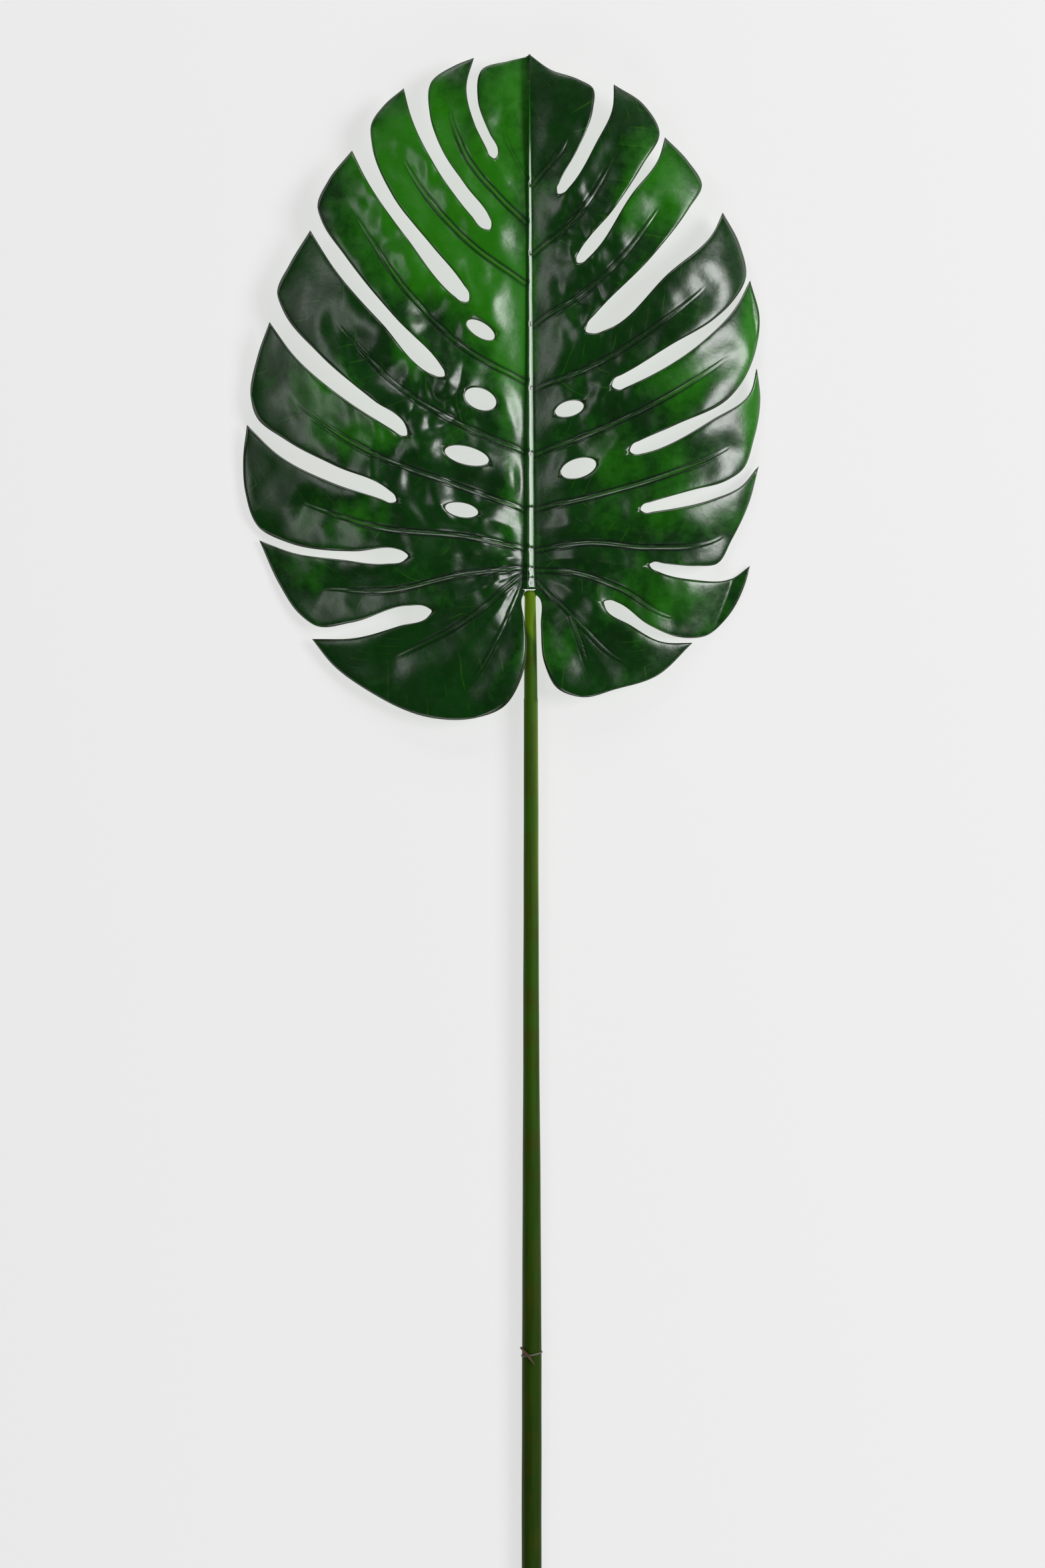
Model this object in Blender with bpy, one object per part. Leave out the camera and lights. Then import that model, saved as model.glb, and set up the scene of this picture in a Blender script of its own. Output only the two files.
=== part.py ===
"""A single cut monstera leaf on its long stem, lying face up on a flat surface.

The leaf is drawn in its own plane, in millimetres: "out" is the distance from the midrib, to the
left or to the right, and "up" is the distance from the foot of the midrib towards the leaf's apex.
Each half of the blade is a row of lobes. Two neighbouring lobes are joined along a seam that runs
from the midrib to the root of a slit, and some seams hold an oval hole. The flat drawing is then
given its height: a shallow valley at the midrib, a crown on each side, and margins that droop.
"""

import math

import bmesh
import bpy
import numpy as np

MM = 0.001

# Driving dimensions, in millimetres.
BLADE_THICKNESS = 0.6
STEM_END = -523.7          # "up" of the cut end
STEM_TOP = -1.6            # "up" of the rounded end under the midrib
STEM_AXIS_END_RISE = 3.6   # how much higher the stem's axis is at its top than at its cut end
MIDRIB_FOOT = -0.3         # "up" of the midrib's square lower end
MIDRIB_TIP = 258.0         # "up" of the midrib's pointed upper end
APEX = (0.0, 276.3)
GAP = 0.3                  # clearance between neighbouring solids

# Half width of the midrib at places along it: (up, half width).
MIDRIB_WIDTHS = ((-2.0, 3.4), (12.0, 2.6), (65.0, 2.4), (150.0, 1.7), (205.0, 1.2), (258.0, 0.4))
# Stem: (up, sideways place of its axis, radius).
STEM_STATIONS = (
    (-523.7, 1.3, 5.0), (-460.0, 1.3, 5.0), (-400.0, 1.4, 4.9), (-330.0, 1.3, 4.6),
    (-250.0, 1.1, 4.1), (-180.0, 1.0, 3.8), (-110.0, 1.0, 3.6), (-60.0, 0.9, 3.5),
    (-20.0, 0.6, 3.1), (-5.0, 0.5, 2.9), (-2.6, 0.5, 2.7), (-1.6, 0.5, 1.9),
)
STEM_SIDES = 16
TIE_UP = -398.0            # where the thread goes round the stem
TIE_LEAN = 2.0             # how far the ring of thread leans along the stem, from its middle
TIE_RADIUS = 0.28

# Height of the blade. The droop grows with the egg-shaped distance from EGG_CENTRE, to a power that
# is higher on the right, where the margins stay flat for longer and then curl over.
SINUS_HEIGHT = 9.8         # at the foot of the midrib
MIDRIB_RISE = 8.0          # of the midrib from its foot to the blade's upper part
MIDRIB_RISE_LENGTH = 200.0
CROWN = 9.5                # rise of the blade over the midrib, at mid width
CROWN_REACH = 30.0         # how far out the blade takes to rise
EGG_CENTRE = (-14.0, 96.0)
EGG_HALF_WIDTH = 134.0
EGG_ABOVE = 215.0
EGG_BELOW = 205.0
DROOP_FROM = 0.42          # share of the egg's radius where the margins begin to droop
DROOP = 18.2               # of the margins at the blade's foot
DROOP_GAIN = 0.2           # the droop's growth from the foot to the blade's upper part, as a share
DROOP_POWER_LEFT = 1.8
DROOP_POWER_RIGHT = 3.4

# Rows of the blade's grid, counted outwards, and columns between two lines of a lobe.
SEAM_ROWS = (2, 4, 2)      # midrib to hole, along the hole, hole to the root of the slit
FREE_ROWS = 8
COLUMNS = 2
STEPS = 12                 # points on a smooth curve for each of its given points
ROOT_CROWDING = 1.5        # how much closer together the rows of a free edge are at its root
RELAXING = 40              # passes that ease a slit's root and a hole's ends out of the grid beside them
SHOULDER = 0.9             # how far behind its root a slit reaches its end's full width, in half widths

# Each slit: tip and upper edge of the lobe below it, going in; its root; then going out again along
# the lower edge of the lobe above, round that lobe's corner and along its rim to its tip. end is half
# the width of its rounded end.
# seam is where its seam meets the midrib. A hole is (inner end, outer end, width).
LEFT = (
    dict(seam=203.0, hole=None, inward=((28.6, 274.3), (32.4, 259.0), (28.0, 238.5), (21.8, 225.5)),
         root=(17.8, 221.0), end=2.2, outward=((16.2, 226.0), (20.4, 234.3), (26.6, 252.0)),
         corner=(24.5, 268.0), rim=((11.0, 272.9), APEX)),
    dict(seam=171.0, hole=None, inward=((64.9, 258.1), (61.4, 244.3), (47.6, 215.3), (29.7, 190.8)),
         root=(20.2, 184.0), end=2.6, outward=((20.8, 190.8), (32.4, 206.0), (45.0, 225.3), (51.4, 244.3)),
         corner=(50.6, 261.5), rim=((39.5, 269.6), (28.6, 274.3))),
    dict(seam=124.5, hole=((18.0, 128.0), (32.0, 136.4), 7.4),
         inward=((91.6, 225.6), (84.2, 210.4), (62.4, 178.4), (38.5, 149.2)), root=(31.4, 146.6), end=2.8,
         outward=((30.6, 150.5), (50.0, 174.9), (70.4, 201.1), (81.4, 229.1)), corner=(81.8, 238.5),
         rim=((75.0, 249.4), (64.9, 258.1))),
    dict(seam=87.0, hole=((17.2, 93.6), (33.0, 99.4), 10.8),
         inward=((113.2, 184.2), (100.7, 164.2), (75.9, 135.2), (49.3, 108.7)), root=(43.6, 108.0), end=1.8,
         outward=((45.4, 113.3), (68.7, 137.7), (94.9, 170.1), (107.6, 189.8)), corner=(109.4, 196.0),
         rim=((104.0, 210.0), (91.6, 225.6))),
    dict(seam=54.5, hole=((20.8, 64.6), (43.4, 70.0), 9.2),
         inward=((134.5, 137.3), (121.4, 119.4), (94.9, 96.3), (70.0, 80.2)), root=(63.0, 77.6), end=1.7,
         outward=((63.6, 82.2), (80.4, 95.6), (108.7, 120.1), (127.6, 143.5)), corner=(130.4, 152.0),
         rim=((124.0, 167.0), (113.2, 184.2))),
    dict(seam=29.0, hole=((26.4, 38.0), (43.2, 41.0), 7.4),
         inward=((146.6, 84.5), (130.1, 68.7), (99.7, 52.8), (76.0, 44.8)), root=(68.6, 43.8), end=2.0,
         outward=((72.2, 49.3), (100.7, 62.4), (126.0, 76.0), (142.0, 89.4)), corner=(144.6, 100.0),
         rim=((141.0, 119.5), (134.5, 137.3))),
    dict(seam=14.5, hole=None, inward=((140.4, 24.8), (122.1, 17.9), (96.9, 14.1), (74.0, 11.8)),
         root=(62.6, 15.8), end=2.2, outward=((68.0, 19.2), (90.4, 18.2), (126.6, 23.8)), corner=(140.5, 31.4),
         rim=((147.6, 50.0), (148.6, 68.0), (146.6, 84.5))),
    dict(seam=8.0, hole=None, inward=((112.8, -26.6), (89.7, -26.2), (66.6, -20.0)),
         root=(50.4, -12.6), end=2.4, outward=((62.4, -9.8), (91.8, -18.3)), corner=(110.7, -19.8),
         rim=((119.0, -14.0), (130.0, 2.0), (140.4, 24.8))),
)
LEFT_FOOT = dict(outward=((2.4, -1.4), (3.8, -6.0), (2.6, -17.0), (1.2, -32.0), (4.2, -47.5),
                          (13.0, -61.8)), corner=(28.0, -67.8),
                 rim=((50.0, -67.8), (84.9, -52.8), (102.1, -40.0), (112.8, -26.6)))
RIGHT = (
    dict(seam=188.0, hole=None, inward=((43.8, 259.8), (43.0, 247.0), (34.8, 229.1), (20.6, 205.6)),
         root=(15.0, 202.4), end=2.2, outward=((15.6, 208.6), (25.2, 226.0), (32.8, 245.6)),
         corner=(32.8, 257.8), rim=((25.5, 262.2), (11.5, 267.4), APEX)),
    dict(seam=153.0, hole=None, inward=((70.2, 232.4), (66.9, 221.1), (53.1, 202.2), (30.2, 168.8)),
         root=(24.8, 166.6), end=2.2, outward=((25.6, 171.9), (44.2, 194.9), (58.6, 217.3)),
         corner=(67.4, 235.0), rim=((59.0, 249.8), (43.8, 259.8))),
    dict(seam=117.5, hole=None, inward=((100.4, 194.2), (95.2, 183.2), (71.4, 160.8), (40.0, 132.2)),
         root=(29.2, 131.2), end=2.8, outward=((34.0, 140.0), (63.1, 169.4), (82.8, 195.6)),
         corner=(89.4, 208.0), rim=((82.0, 220.5), (70.2, 232.4))),
    dict(seam=85.0, hole=((13.4, 89.9), (28.0, 93.6), 7.8),
         inward=((114.8, 159.6), (108.4, 147.0), (88.7, 125.6), (50.0, 102.6)), root=(42.8, 103.0), end=3.2,
         outward=((47.5, 108.8), (72.8, 123.9), (95.9, 138.3), (105.2, 147.6)), corner=(112.6, 161.5),
         rim=((109.4, 178.0), (100.4, 194.2))),
    dict(seam=54.0, hole=((16.4, 58.6), (34.4, 63.8), 9.8),
         inward=((118.3, 113.5), (115.2, 101.8), (94.2, 85.9), (57.0, 68.2)), root=(52.0, 69.6), end=2.8,
         outward=((57.0, 75.0), (75.6, 83.1), (103.8, 98.0)), corner=(110.5, 106.5),
         rim=((117.4, 122.5), (119.7, 140.0), (114.8, 159.6))),
    dict(seam=29.0, hole=None, inward=((119.4, 63.5), (110.4, 52.8), (94.2, 45.2), (64.0, 38.6)),
         root=(57.4, 39.8), end=2.2, outward=((62.0, 43.3), (85.0, 50.0), (102.0, 55.0)),
         corner=(110.4, 60.8), rim=((116.6, 77.0), (120.1, 99.0), (118.3, 113.5))),
    dict(seam=13.5, hole=None, inward=((114.9, 11.7), (106.0, 5.2), (84.2, 4.0), (67.0, 7.8)),
         root=(62.2, 11.6), end=1.5, outward=((70.0, 12.0), (86.0, 11.0)), corner=(97.6, 12.4),
         rim=((105.0, 24.5), (114.5, 44.8), (119.4, 63.5))),
    dict(seam=5.5, hole=None, inward=((84.9, -28.6), (68.3, -28.1), (52.4, -19.7)),
         root=(38.8, -7.6), end=2.2, outward=((46.0, -8.2), (62.1, -19.7), (80.0, -26.0)),
         corner=(92.5, -24.6), rim=((102.0, -16.5), (113.0, 4.0), (114.9, 11.7))),
)
RIGHT_FOOT = dict(outward=((2.6, -1.6), (5.6, -6.0), (6.0, -20.0), (8.0, -40.0), (14.5, -52.4)),
                  corner=(27.0, -57.0), rim=((45.0, -52.8), (66.0, -46.0), (84.9, -28.6)))

# Veins, from the apex down: where each leaves the midrib, then the places that it passes. The last
# lobe of each half has two. Each ends on its lobe's rim, RIM_SHARE of the way from corner to tip.
RIM_SHARE = 0.5
LEFT_VEINS = (
    ((210.0, (14.0, 238.0)),),
    ((188.0, (14.0, 199.4), (34.0, 225.0)),),
    ((156.6, (29.3, 175.6), (58.0, 208.7)),),
    ((106.0, (32.1, 121.8), (60.7, 149.0), (88.3, 189.4)),),
    ((69.7, (32.1, 81.8), (63.8, 100.0), (96.9, 133.2)),),
    ((40.0, (39.0, 52.8), (83.8, 69.7), (119.4, 94.2)),),
    ((20.0, (32.4, 25.9), (77.3, 30.4), (115.6, 42.8)),),
    ((9.8, (32.4, 6.6), (74.9, -2.1), (103.5, -1.0)),),
    ((3.4, (15.9, -25.2), (32.1, -52.8)), (6.4, (32.4, -16.9), (68.0, -35.9))),
)
RIGHT_VEINS = (
    ((207.0, (20.0, 232.2)),),
    ((171.5, (20.4, 186.3), (44.8, 222.9)),),
    ((134.9, (36.6, 158.0), (66.2, 194.2)),),
    ((101.8, (35.9, 115.2), (63.8, 132.8), (90.0, 154.2)),),
    ((68.3, (42.4, 83.5), (79.0, 102.5), (103.2, 119.7)),),
    ((40.0, (36.6, 47.6), (72.1, 58.0), (102.8, 71.8)),),
    ((19.0, (30.4, 22.8), (62.1, 20.4), (99.7, 25.9)),),
    ((8.8, (22.4, 7.6), (46.2, -0.3), (73.5, -15.5)),),
    ((1.4, (12.0, -13.5), (20.0, -24.0), (28.6, -41.0)), (3.6, (22.4, -15.2), (50.0, -39.0))),
)


def clear_scene():
    for thing in list(bpy.data.objects):
        bpy.data.objects.remove(thing, do_unlink=True)


def make_material(name, colour, roughness):
    """A plain Principled material."""
    material = bpy.data.materials.new(name)
    material.use_nodes = True
    shader = material.node_tree.nodes["Principled BSDF"]
    shader.inputs["Base Color"].default_value = (*colour, 1.0)
    shader.inputs["Roughness"].default_value = roughness
    shader.inputs["Metallic"].default_value = 0.0
    return material


def midrib_half_width(up):
    ups, widths = zip(*MIDRIB_WIDTHS)
    return np.interp(up, ups, widths)


def seat_half_width(up):
    """Half width of the flat strip of blade under the midrib, which closes to nothing at the apex."""
    return (midrib_half_width(up) + 0.5) * np.clip((APEX[1] - up) / 8.0, 0.0, 1.0)


def through(points):
    """A smooth curve through the points: a cubic Hermite whose slopes come from both neighbours."""
    points = np.array(points, float)
    knots = np.r_[0.0, np.cumsum(np.linalg.norm(np.diff(points, axis=0), axis=1))]
    slopes = np.gradient(points, knots, axis=0)
    pieces = np.arange((len(points) - 1) * STEPS + 1) / STEPS
    i = np.minimum(pieces.astype(int), len(points) - 2)
    t = (pieces - i)[:, None]
    h = np.diff(knots)[i][:, None]
    return ((2 * t**3 - 3 * t**2 + 1) * points[i] + (t**3 - 2 * t**2 + t) * h * slopes[i]
            + (3 * t**2 - 2 * t**3) * points[i + 1] + (t**3 - t**2) * h * slopes[i + 1])


def shares(curve):
    """How far along its own length each point of a curve lies, from 0 to 1."""
    along = np.r_[0.0, np.cumsum(np.linalg.norm(np.diff(curve, axis=0), axis=1))]
    return along / along[-1]


def at(curve, where):
    """Points at the given shares of a curve's length."""
    along = shares(curve)
    return np.column_stack([np.interp(where, along, curve[:, axis]) for axis in (0, 1)])


def slit_edges(slit):
    """(root to tip of the lobe below, root to corner of the lobe above, corner to that lobe's tip)."""
    root = np.array(slit["root"])
    axis = (np.array(slit["inward"][-1]) + slit["outward"][0]) / 2 - root
    axis = axis / np.linalg.norm(axis) * slit["end"]
    across = np.array([axis[1], -axis[0]])
    ends = (root + SHOULDER * axis + across, root, root + SHOULDER * axis - across)
    points = [*slit["inward"], *ends, *slit["outward"], slit["corner"], *slit["rim"]]
    curve = through(points)
    root = (len(slit["inward"]) + 1) * STEPS
    corner = root + (2 + len(slit["outward"])) * STEPS
    return curve[: root + 1][::-1], curve[root: corner + 1], curve[corner:]


def seam_lines(slit):
    """The seam's upper and lower side, row by row: the same line, save round the hole."""
    start = (seat_half_width(slit["seam"]), slit["seam"])
    before, along, after = SEAM_ROWS
    if slit["hole"] is None:
        line = at(through([start, slit["root"]]), np.linspace(0, 1, sum(SEAM_ROWS) + 1))
        return line, line
    inner, outer, width = slit["hole"]
    turn = (1 - np.cos(np.linspace(0, math.pi, along + 1))) / 2
    inner, outer = np.array(inner), np.array(outer)
    line = np.vstack([
        np.linspace(start, inner, before + 1)[:-1],
        inner + turn[:, None] * (outer - inner),
        np.linspace(outer, slit["root"], after + 1)[1:],
    ])
    across = np.array([inner[1] - outer[1], outer[0] - inner[0]]) / np.linalg.norm(outer - inner)
    half = np.zeros(len(line))
    half[before: before + along + 1] = width / 2 * np.sqrt(np.clip(1 - (2 * turn - 1) ** 2, 0, 1))
    return line + half[:, None] * across, line - half[:, None] * across


def free_edge(edge):
    """Rows of a lobe's free edge beyond the root, which are closer together at the round root."""
    where = np.linspace(0, 1, FREE_ROWS + 1)[1:]
    return at(edge, where ** ROOT_CROWDING)


def relaxed(grid, rows, columns):
    """The grid with each inner point moved to the mean of its four neighbours, pass after pass.

    A neighbour counts for more the nearer it is in the grid's own spacing, so a straight ruled grid
    stays as it is and only kinks fade.
    """
    down, right = np.diff(rows), np.diff(columns)
    above = (down[1:] / (down[1:] + down[:-1]))[:, None, None]
    before = (right[1:] / (right[1:] + right[:-1]))[None, :, None]
    for _ in range(RELAXING):
        along = above * grid[:-2, 1:-1] + (1 - above) * grid[2:, 1:-1]
        across = before * grid[1:-1, :-2] + (1 - before) * grid[1:-1, 2:]
        grid[1:-1, 1:-1] = (along + across) / 2
    return grid


def strip(low, high, rim):
    """Grid between two lines of a lobe: ruled from one line to the other, and eased to its rim."""
    columns = np.linspace(0, 1, COLUMNS + 1)
    rows = (shares(low) + shares(high)) / 2
    across = columns[None, :, None]
    grid = low[:, None] * (1 - across) + high[:, None] * across
    grid = grid + rows[:, None, None] ** 3 * (rim[None] - grid[-1:])
    return relaxed(grid, rows, columns)


def lobe_grid(low, high, rim, veins):
    """One lobe: strips between its lower side, its veins and its upper side, as one grid."""
    rows = (shares(low) + shares(high)) / 2
    ends = np.linspace(0, 1, len(veins) + 2)
    ends[1:-1] = RIM_SHARE if len(veins) == 1 else (0.18, 0.72)
    lines = [low]
    for (up, *places), share in zip(veins, ends[1:-1]):
        lines.append(at(through([(seat_half_width(up), up), *places, at(rim, share)[0]]), rows))
    lines.append(high)
    strips = [
        strip(a, b, at(rim, np.linspace(start, stop, COLUMNS + 1)))
        for a, b, start, stop in zip(lines, lines[1:], ends, ends[1:])
    ]
    return np.hstack([strips[0], *(grid[:, 1:] for grid in strips[1:])])


def half_blade(slits, foot, veins):
    """(the lobes' grids from the apex down, the chain of points along the midrib from the foot up)."""
    rows = sum(SEAM_ROWS) + FREE_ROWS
    edges = [slit_edges(slit) for slit in slits]
    seams = [seam_lines(slit) for slit in slits]
    foot_start = (seat_half_width(-1.0), -0.8)
    foot_curve = through([foot_start, *foot["outward"], foot["corner"], *foot["rim"]])
    foot_corner = (len(foot["outward"]) + 1) * STEPS
    ups = np.linspace(veins[0][-1][0], APEX[1], rows + 1)
    high = np.column_stack([seat_half_width(ups), ups])
    grids = []
    for index, lobe_veins in enumerate(veins):
        if index < len(slits):
            low = np.vstack([seams[index][0], free_edge(edges[index][1])])
            rim = edges[index][2]
        else:
            low = at(foot_curve[: foot_corner + 1], shares(high))
            rim = foot_curve[foot_corner:]
        grids.append(lobe_grid(low, high, rim, lobe_veins))
        if index < len(slits):
            high = np.vstack([seams[index][1], free_edge(edges[index][0])])
    chain = [*(grid[0, :-1] for grid in reversed(grids)), grids[0][:, -1]]
    return grids, np.vstack(chain)


def height(points):
    """Height in millimetres of the blade's upper side over the surface that it lies on."""
    x, y = points[..., 0], points[..., 1]
    climb = np.sin(math.pi / 2 * np.clip(y / MIDRIB_RISE_LENGTH, 0, 1))
    clear = np.hypot(np.maximum(np.abs(x) - seat_half_width(np.clip(y, 0, 999)), 0), np.minimum(y, 0))
    crown = CROWN * (1 - np.exp(-clear / CROWN_REACH))
    reach = np.where(y > EGG_CENTRE[1], EGG_ABOVE, EGG_BELOW)
    egg = np.hypot((x - EGG_CENTRE[0]) / EGG_HALF_WIDTH, (y - EGG_CENTRE[1]) / reach)
    power = np.where(x < 0, DROOP_POWER_LEFT, DROOP_POWER_RIGHT)
    share = np.clip((egg - DROOP_FROM) / (1 - DROOP_FROM), 0, 1)
    droop = DROOP * (1 + DROOP_GAIN * climb) * share ** power
    return SINUS_HEIGHT + MIDRIB_RISE * climb + crown - droop


def zipped(left, right):
    """Triangles of the strip between two chains of points, both going up, as pairs of (side, index)."""
    faces = []
    i = j = 0
    while i < len(left) - 1 or j < len(right) - 1:
        step_left = j == len(right) - 1 or (i < len(left) - 1 and left[i + 1][1] < right[j + 1][1])
        new = (0, i + 1) if step_left else (1, j + 1)
        faces.append(((0, i), (1, j), new))
        i, j = (i + 1, j) if step_left else (i, j + 1)
    return faces


def make_blade(material):
    """The blade: one sheet of lobes, thickened downwards."""
    bm = bmesh.new()

    def vertex(point):
        return bm.verts.new((*(point * MM), float(height(point)) * MM))

    chains = []
    for sign, slits, foot, veins in ((-1, LEFT, LEFT_FOOT, LEFT_VEINS),
                                     (1, RIGHT, RIGHT_FOOT, RIGHT_VEINS)):
        grids, chain = half_blade(slits, foot, veins)
        side = np.array([sign, 1.0])
        for grid in grids:
            net = [[vertex(point * side) for point in row] for row in grid]
            for near, far in zip(net, net[1:]):
                for a, b, c, d in zip(near, near[1:], far[1:], far):
                    bm.faces.new((a, b, c, d))
        chains.append(chain * side)
    rails = [[vertex(point) for point in chain] for chain in chains]
    for corners in zipped(*chains):
        bm.faces.new([rails[side][index] for side, index in corners])
    bmesh.ops.remove_doubles(bm, verts=bm.verts, dist=0.02 * MM)
    bmesh.ops.recalc_face_normals(bm, faces=bm.faces)
    if sum(face.normal.z for face in bm.faces) < 0:
        bmesh.ops.reverse_faces(bm, faces=bm.faces)
    blade = add_object("leaf_blade", bm, material)
    wall = blade.modifiers.new("thickness", "SOLIDIFY")
    wall.thickness = BLADE_THICKNESS * MM
    wall.offset = -1.0
    return blade


def add_object(name, bm, material):
    """A smooth-shaded object made from a bmesh, in the scene."""
    mesh = bpy.data.meshes.new(name)
    bm.to_mesh(mesh)
    bm.free()
    mesh.materials.append(material)
    mesh.shade_smooth()
    thing = bpy.data.objects.new(name, mesh)
    bpy.context.scene.collection.objects.link(thing)
    return thing


def loft(name, rings, material, closed=False):
    """One body through rings of points in millimetres, with flat ends or, if closed, end to end."""
    bm = bmesh.new()
    loops = [[bm.verts.new(np.array(point) * MM) for point in ring] for ring in rings]
    pairs = list(zip(loops, loops[1:]))
    if closed:
        pairs.append((loops[-1], loops[0]))
    for near, far in pairs:
        for i in range(len(near)):
            bm.faces.new((near[i - 1], near[i], far[i], far[i - 1]))
    if not closed:
        bm.faces.new(loops[0])
        bm.faces.new(loops[-1])
    bmesh.ops.recalc_face_normals(bm, faces=bm.faces)
    return add_object(name, bm, material)


def stem_axis(up):
    """(sideways place, height, radius) of the stem at a distance along it."""
    ups, sideways, radii = zip(*STEM_STATIONS)
    share = (up - STEM_END) / (STEM_TOP - STEM_END)
    return np.interp(up, ups, sideways), radii[0] + STEM_AXIS_END_RISE * share, np.interp(up, ups, radii)


def make_stem(material):
    """The stem: a round bar that thins towards the blade and has a plain cut lower end."""
    angles = np.arange(STEM_SIDES) * 2 * math.pi / STEM_SIDES
    rings = []
    for up, _, _ in STEM_STATIONS:
        x, z, radius = stem_axis(up)
        rings.append([(x + radius * math.sin(a), up, z - radius * math.cos(a)) for a in angles])
    return loft("stem", rings, material)


def make_midrib(material):
    """The midrib: a half-round rib on the blade, square at its foot and fading out near the apex."""
    rings = []
    for up in (MIDRIB_FOOT, 4.0, 12.0, 40.0, 70.0, 100.0, 130.0, 160.0, 190.0, 220.0, 245.0, MIDRIB_TIP):
        half = float(midrib_half_width(up))
        floor = float(height(np.array([0.0, up]))) + GAP
        arc = np.linspace(0, math.pi, 9)
        rings.append([(half * math.cos(a), up, floor + half * math.sin(a)) for a in arc])
    return loft("midrib", rings, material)


def make_tie(material):
    """The tie: one turn of thread that leans round the stem."""
    x, z, radius = stem_axis(TIE_UP)
    rings = []
    for turn in np.arange(20) * 2 * math.pi / 20:
        ring = []
        for a in np.arange(6) * 2 * math.pi / 6:
            out = radius + GAP + TIE_RADIUS * (1 + math.cos(a))
            along = TIE_UP + TIE_LEAN * math.cos(turn) + TIE_RADIUS * math.sin(a)
            ring.append((x + out * math.sin(turn), along, z + out * math.cos(turn)))
        rings.append(ring)
    return loft("tie", rings, material, closed=True)


def main():
    clear_scene()
    leaf_green = make_material("leaf_film", (0.01, 0.07, 0.012), 0.32)
    rib_green = make_material("midrib_film", (0.02, 0.16, 0.02), 0.3)
    stem_green = make_material("stem_sleeve", (0.05, 0.13, 0.004), 0.45)
    thread = make_material("tie_thread", (0.35, 0.22, 0.18), 0.7)
    blade = make_blade(leaf_green)
    parts = [blade, make_midrib(rib_green), make_stem(stem_green), make_tie(thread)]
    # The origin is under the middle of the whole leaf, on the surface that it lies on.
    frame = bpy.data.objects.new("leaf_frame", None)
    bpy.context.scene.collection.objects.link(frame)
    xs = [vertex.co.x for vertex in blade.data.vertices]
    frame.location = (-(min(xs) + max(xs)) / 2, -(STEM_END + APEX[1]) / 2 * MM, 0.0)
    for part in parts:
        part.parent = frame


main()
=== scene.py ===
"""A single cut monstera leaf on its long stem, lying face up on a pale table under softboxes.

The leaf is drawn flat first, in millimetres: x is the distance from the midrib, y the distance from
the midrib's foot towards the apex. Each half of the blade is a row of lobes, and each lobe is a grid
between its lower side, its vein and its upper side. The flat grids are then given their height: the
blade's broad form, the pillows between the veins, the veins' own ridges and the wrinkles of the film.
"""

import logging
import math
from dataclasses import dataclass, field
from enum import Enum

import bmesh
import bpy
import numpy as np
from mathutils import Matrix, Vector


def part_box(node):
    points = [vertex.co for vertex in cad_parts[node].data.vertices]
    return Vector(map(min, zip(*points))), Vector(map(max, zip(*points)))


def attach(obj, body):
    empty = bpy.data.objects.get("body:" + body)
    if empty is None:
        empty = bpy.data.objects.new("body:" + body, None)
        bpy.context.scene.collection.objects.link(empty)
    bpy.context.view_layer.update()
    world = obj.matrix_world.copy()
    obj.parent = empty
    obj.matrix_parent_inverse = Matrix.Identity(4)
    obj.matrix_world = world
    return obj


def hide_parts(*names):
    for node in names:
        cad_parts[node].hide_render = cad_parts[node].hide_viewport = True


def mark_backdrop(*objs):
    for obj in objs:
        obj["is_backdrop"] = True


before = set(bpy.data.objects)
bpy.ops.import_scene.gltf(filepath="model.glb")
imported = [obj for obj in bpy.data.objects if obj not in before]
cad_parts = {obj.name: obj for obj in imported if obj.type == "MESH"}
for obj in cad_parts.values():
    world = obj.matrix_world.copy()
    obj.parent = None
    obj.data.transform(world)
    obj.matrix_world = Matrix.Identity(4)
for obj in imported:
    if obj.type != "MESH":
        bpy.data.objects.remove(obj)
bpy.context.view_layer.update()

MM = 0.001
WELD = 0.01 * MM
LOG = logging.getLogger("monstera_leaf")

Array = np.ndarray
Point = tuple[float, float]


class Side(Enum):
    """A half of the blade, as the sign of the direction in which it grows."""

    LEFT = -1
    RIGHT = 1


# ---------------------------------------------------------------------------------------------
# Curves, grids and noise, worked out as whole arrays
# ---------------------------------------------------------------------------------------------

CURVE_STEPS = 12


def through(points: list[Point] | tuple[Point, ...]) -> Array:
    """Draw a smooth curve through points.

    Each stretch is a cubic with the given points as ends and, as end slopes, the mean slope of the
    two neighbouring stretches. Distance between points is the cubic's own parameter.

    Args:
        points: the places that the curve passes, in order.

    Returns:
        The curve's points, CURVE_STEPS for each stretch.
    """
    given = np.array(points, float)
    knots = np.r_[0.0, np.cumsum(np.linalg.norm(np.diff(given, axis=0), axis=1))]
    slopes = np.gradient(given, knots, axis=0)
    places = np.arange((len(given) - 1) * CURVE_STEPS + 1) / CURVE_STEPS
    i = np.minimum(places.astype(int), len(given) - 2)
    t = (places - i)[:, None]
    h = np.diff(knots)[i][:, None]
    start = (2 * t**3 - 3 * t**2 + 1) * given[i] + (t**3 - 2 * t**2 + t) * h * slopes[i]
    stop = (3 * t**2 - 2 * t**3) * given[i + 1] + (t**3 - t**2) * h * slopes[i + 1]
    return start + stop


def shares(curve: Array) -> Array:
    """Return how far along its own length each point of a curve lies, from 0 to 1."""
    along = np.r_[0.0, np.cumsum(np.linalg.norm(np.diff(curve, axis=0), axis=1))]
    return along / along[-1]


def at(curve: Array, where: Array) -> Array:
    """Return the points that lie at the given shares of a curve's length."""
    along = shares(curve)
    return np.column_stack([np.interp(where, along, curve[:, axis]) for axis in (0, 1)])


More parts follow.
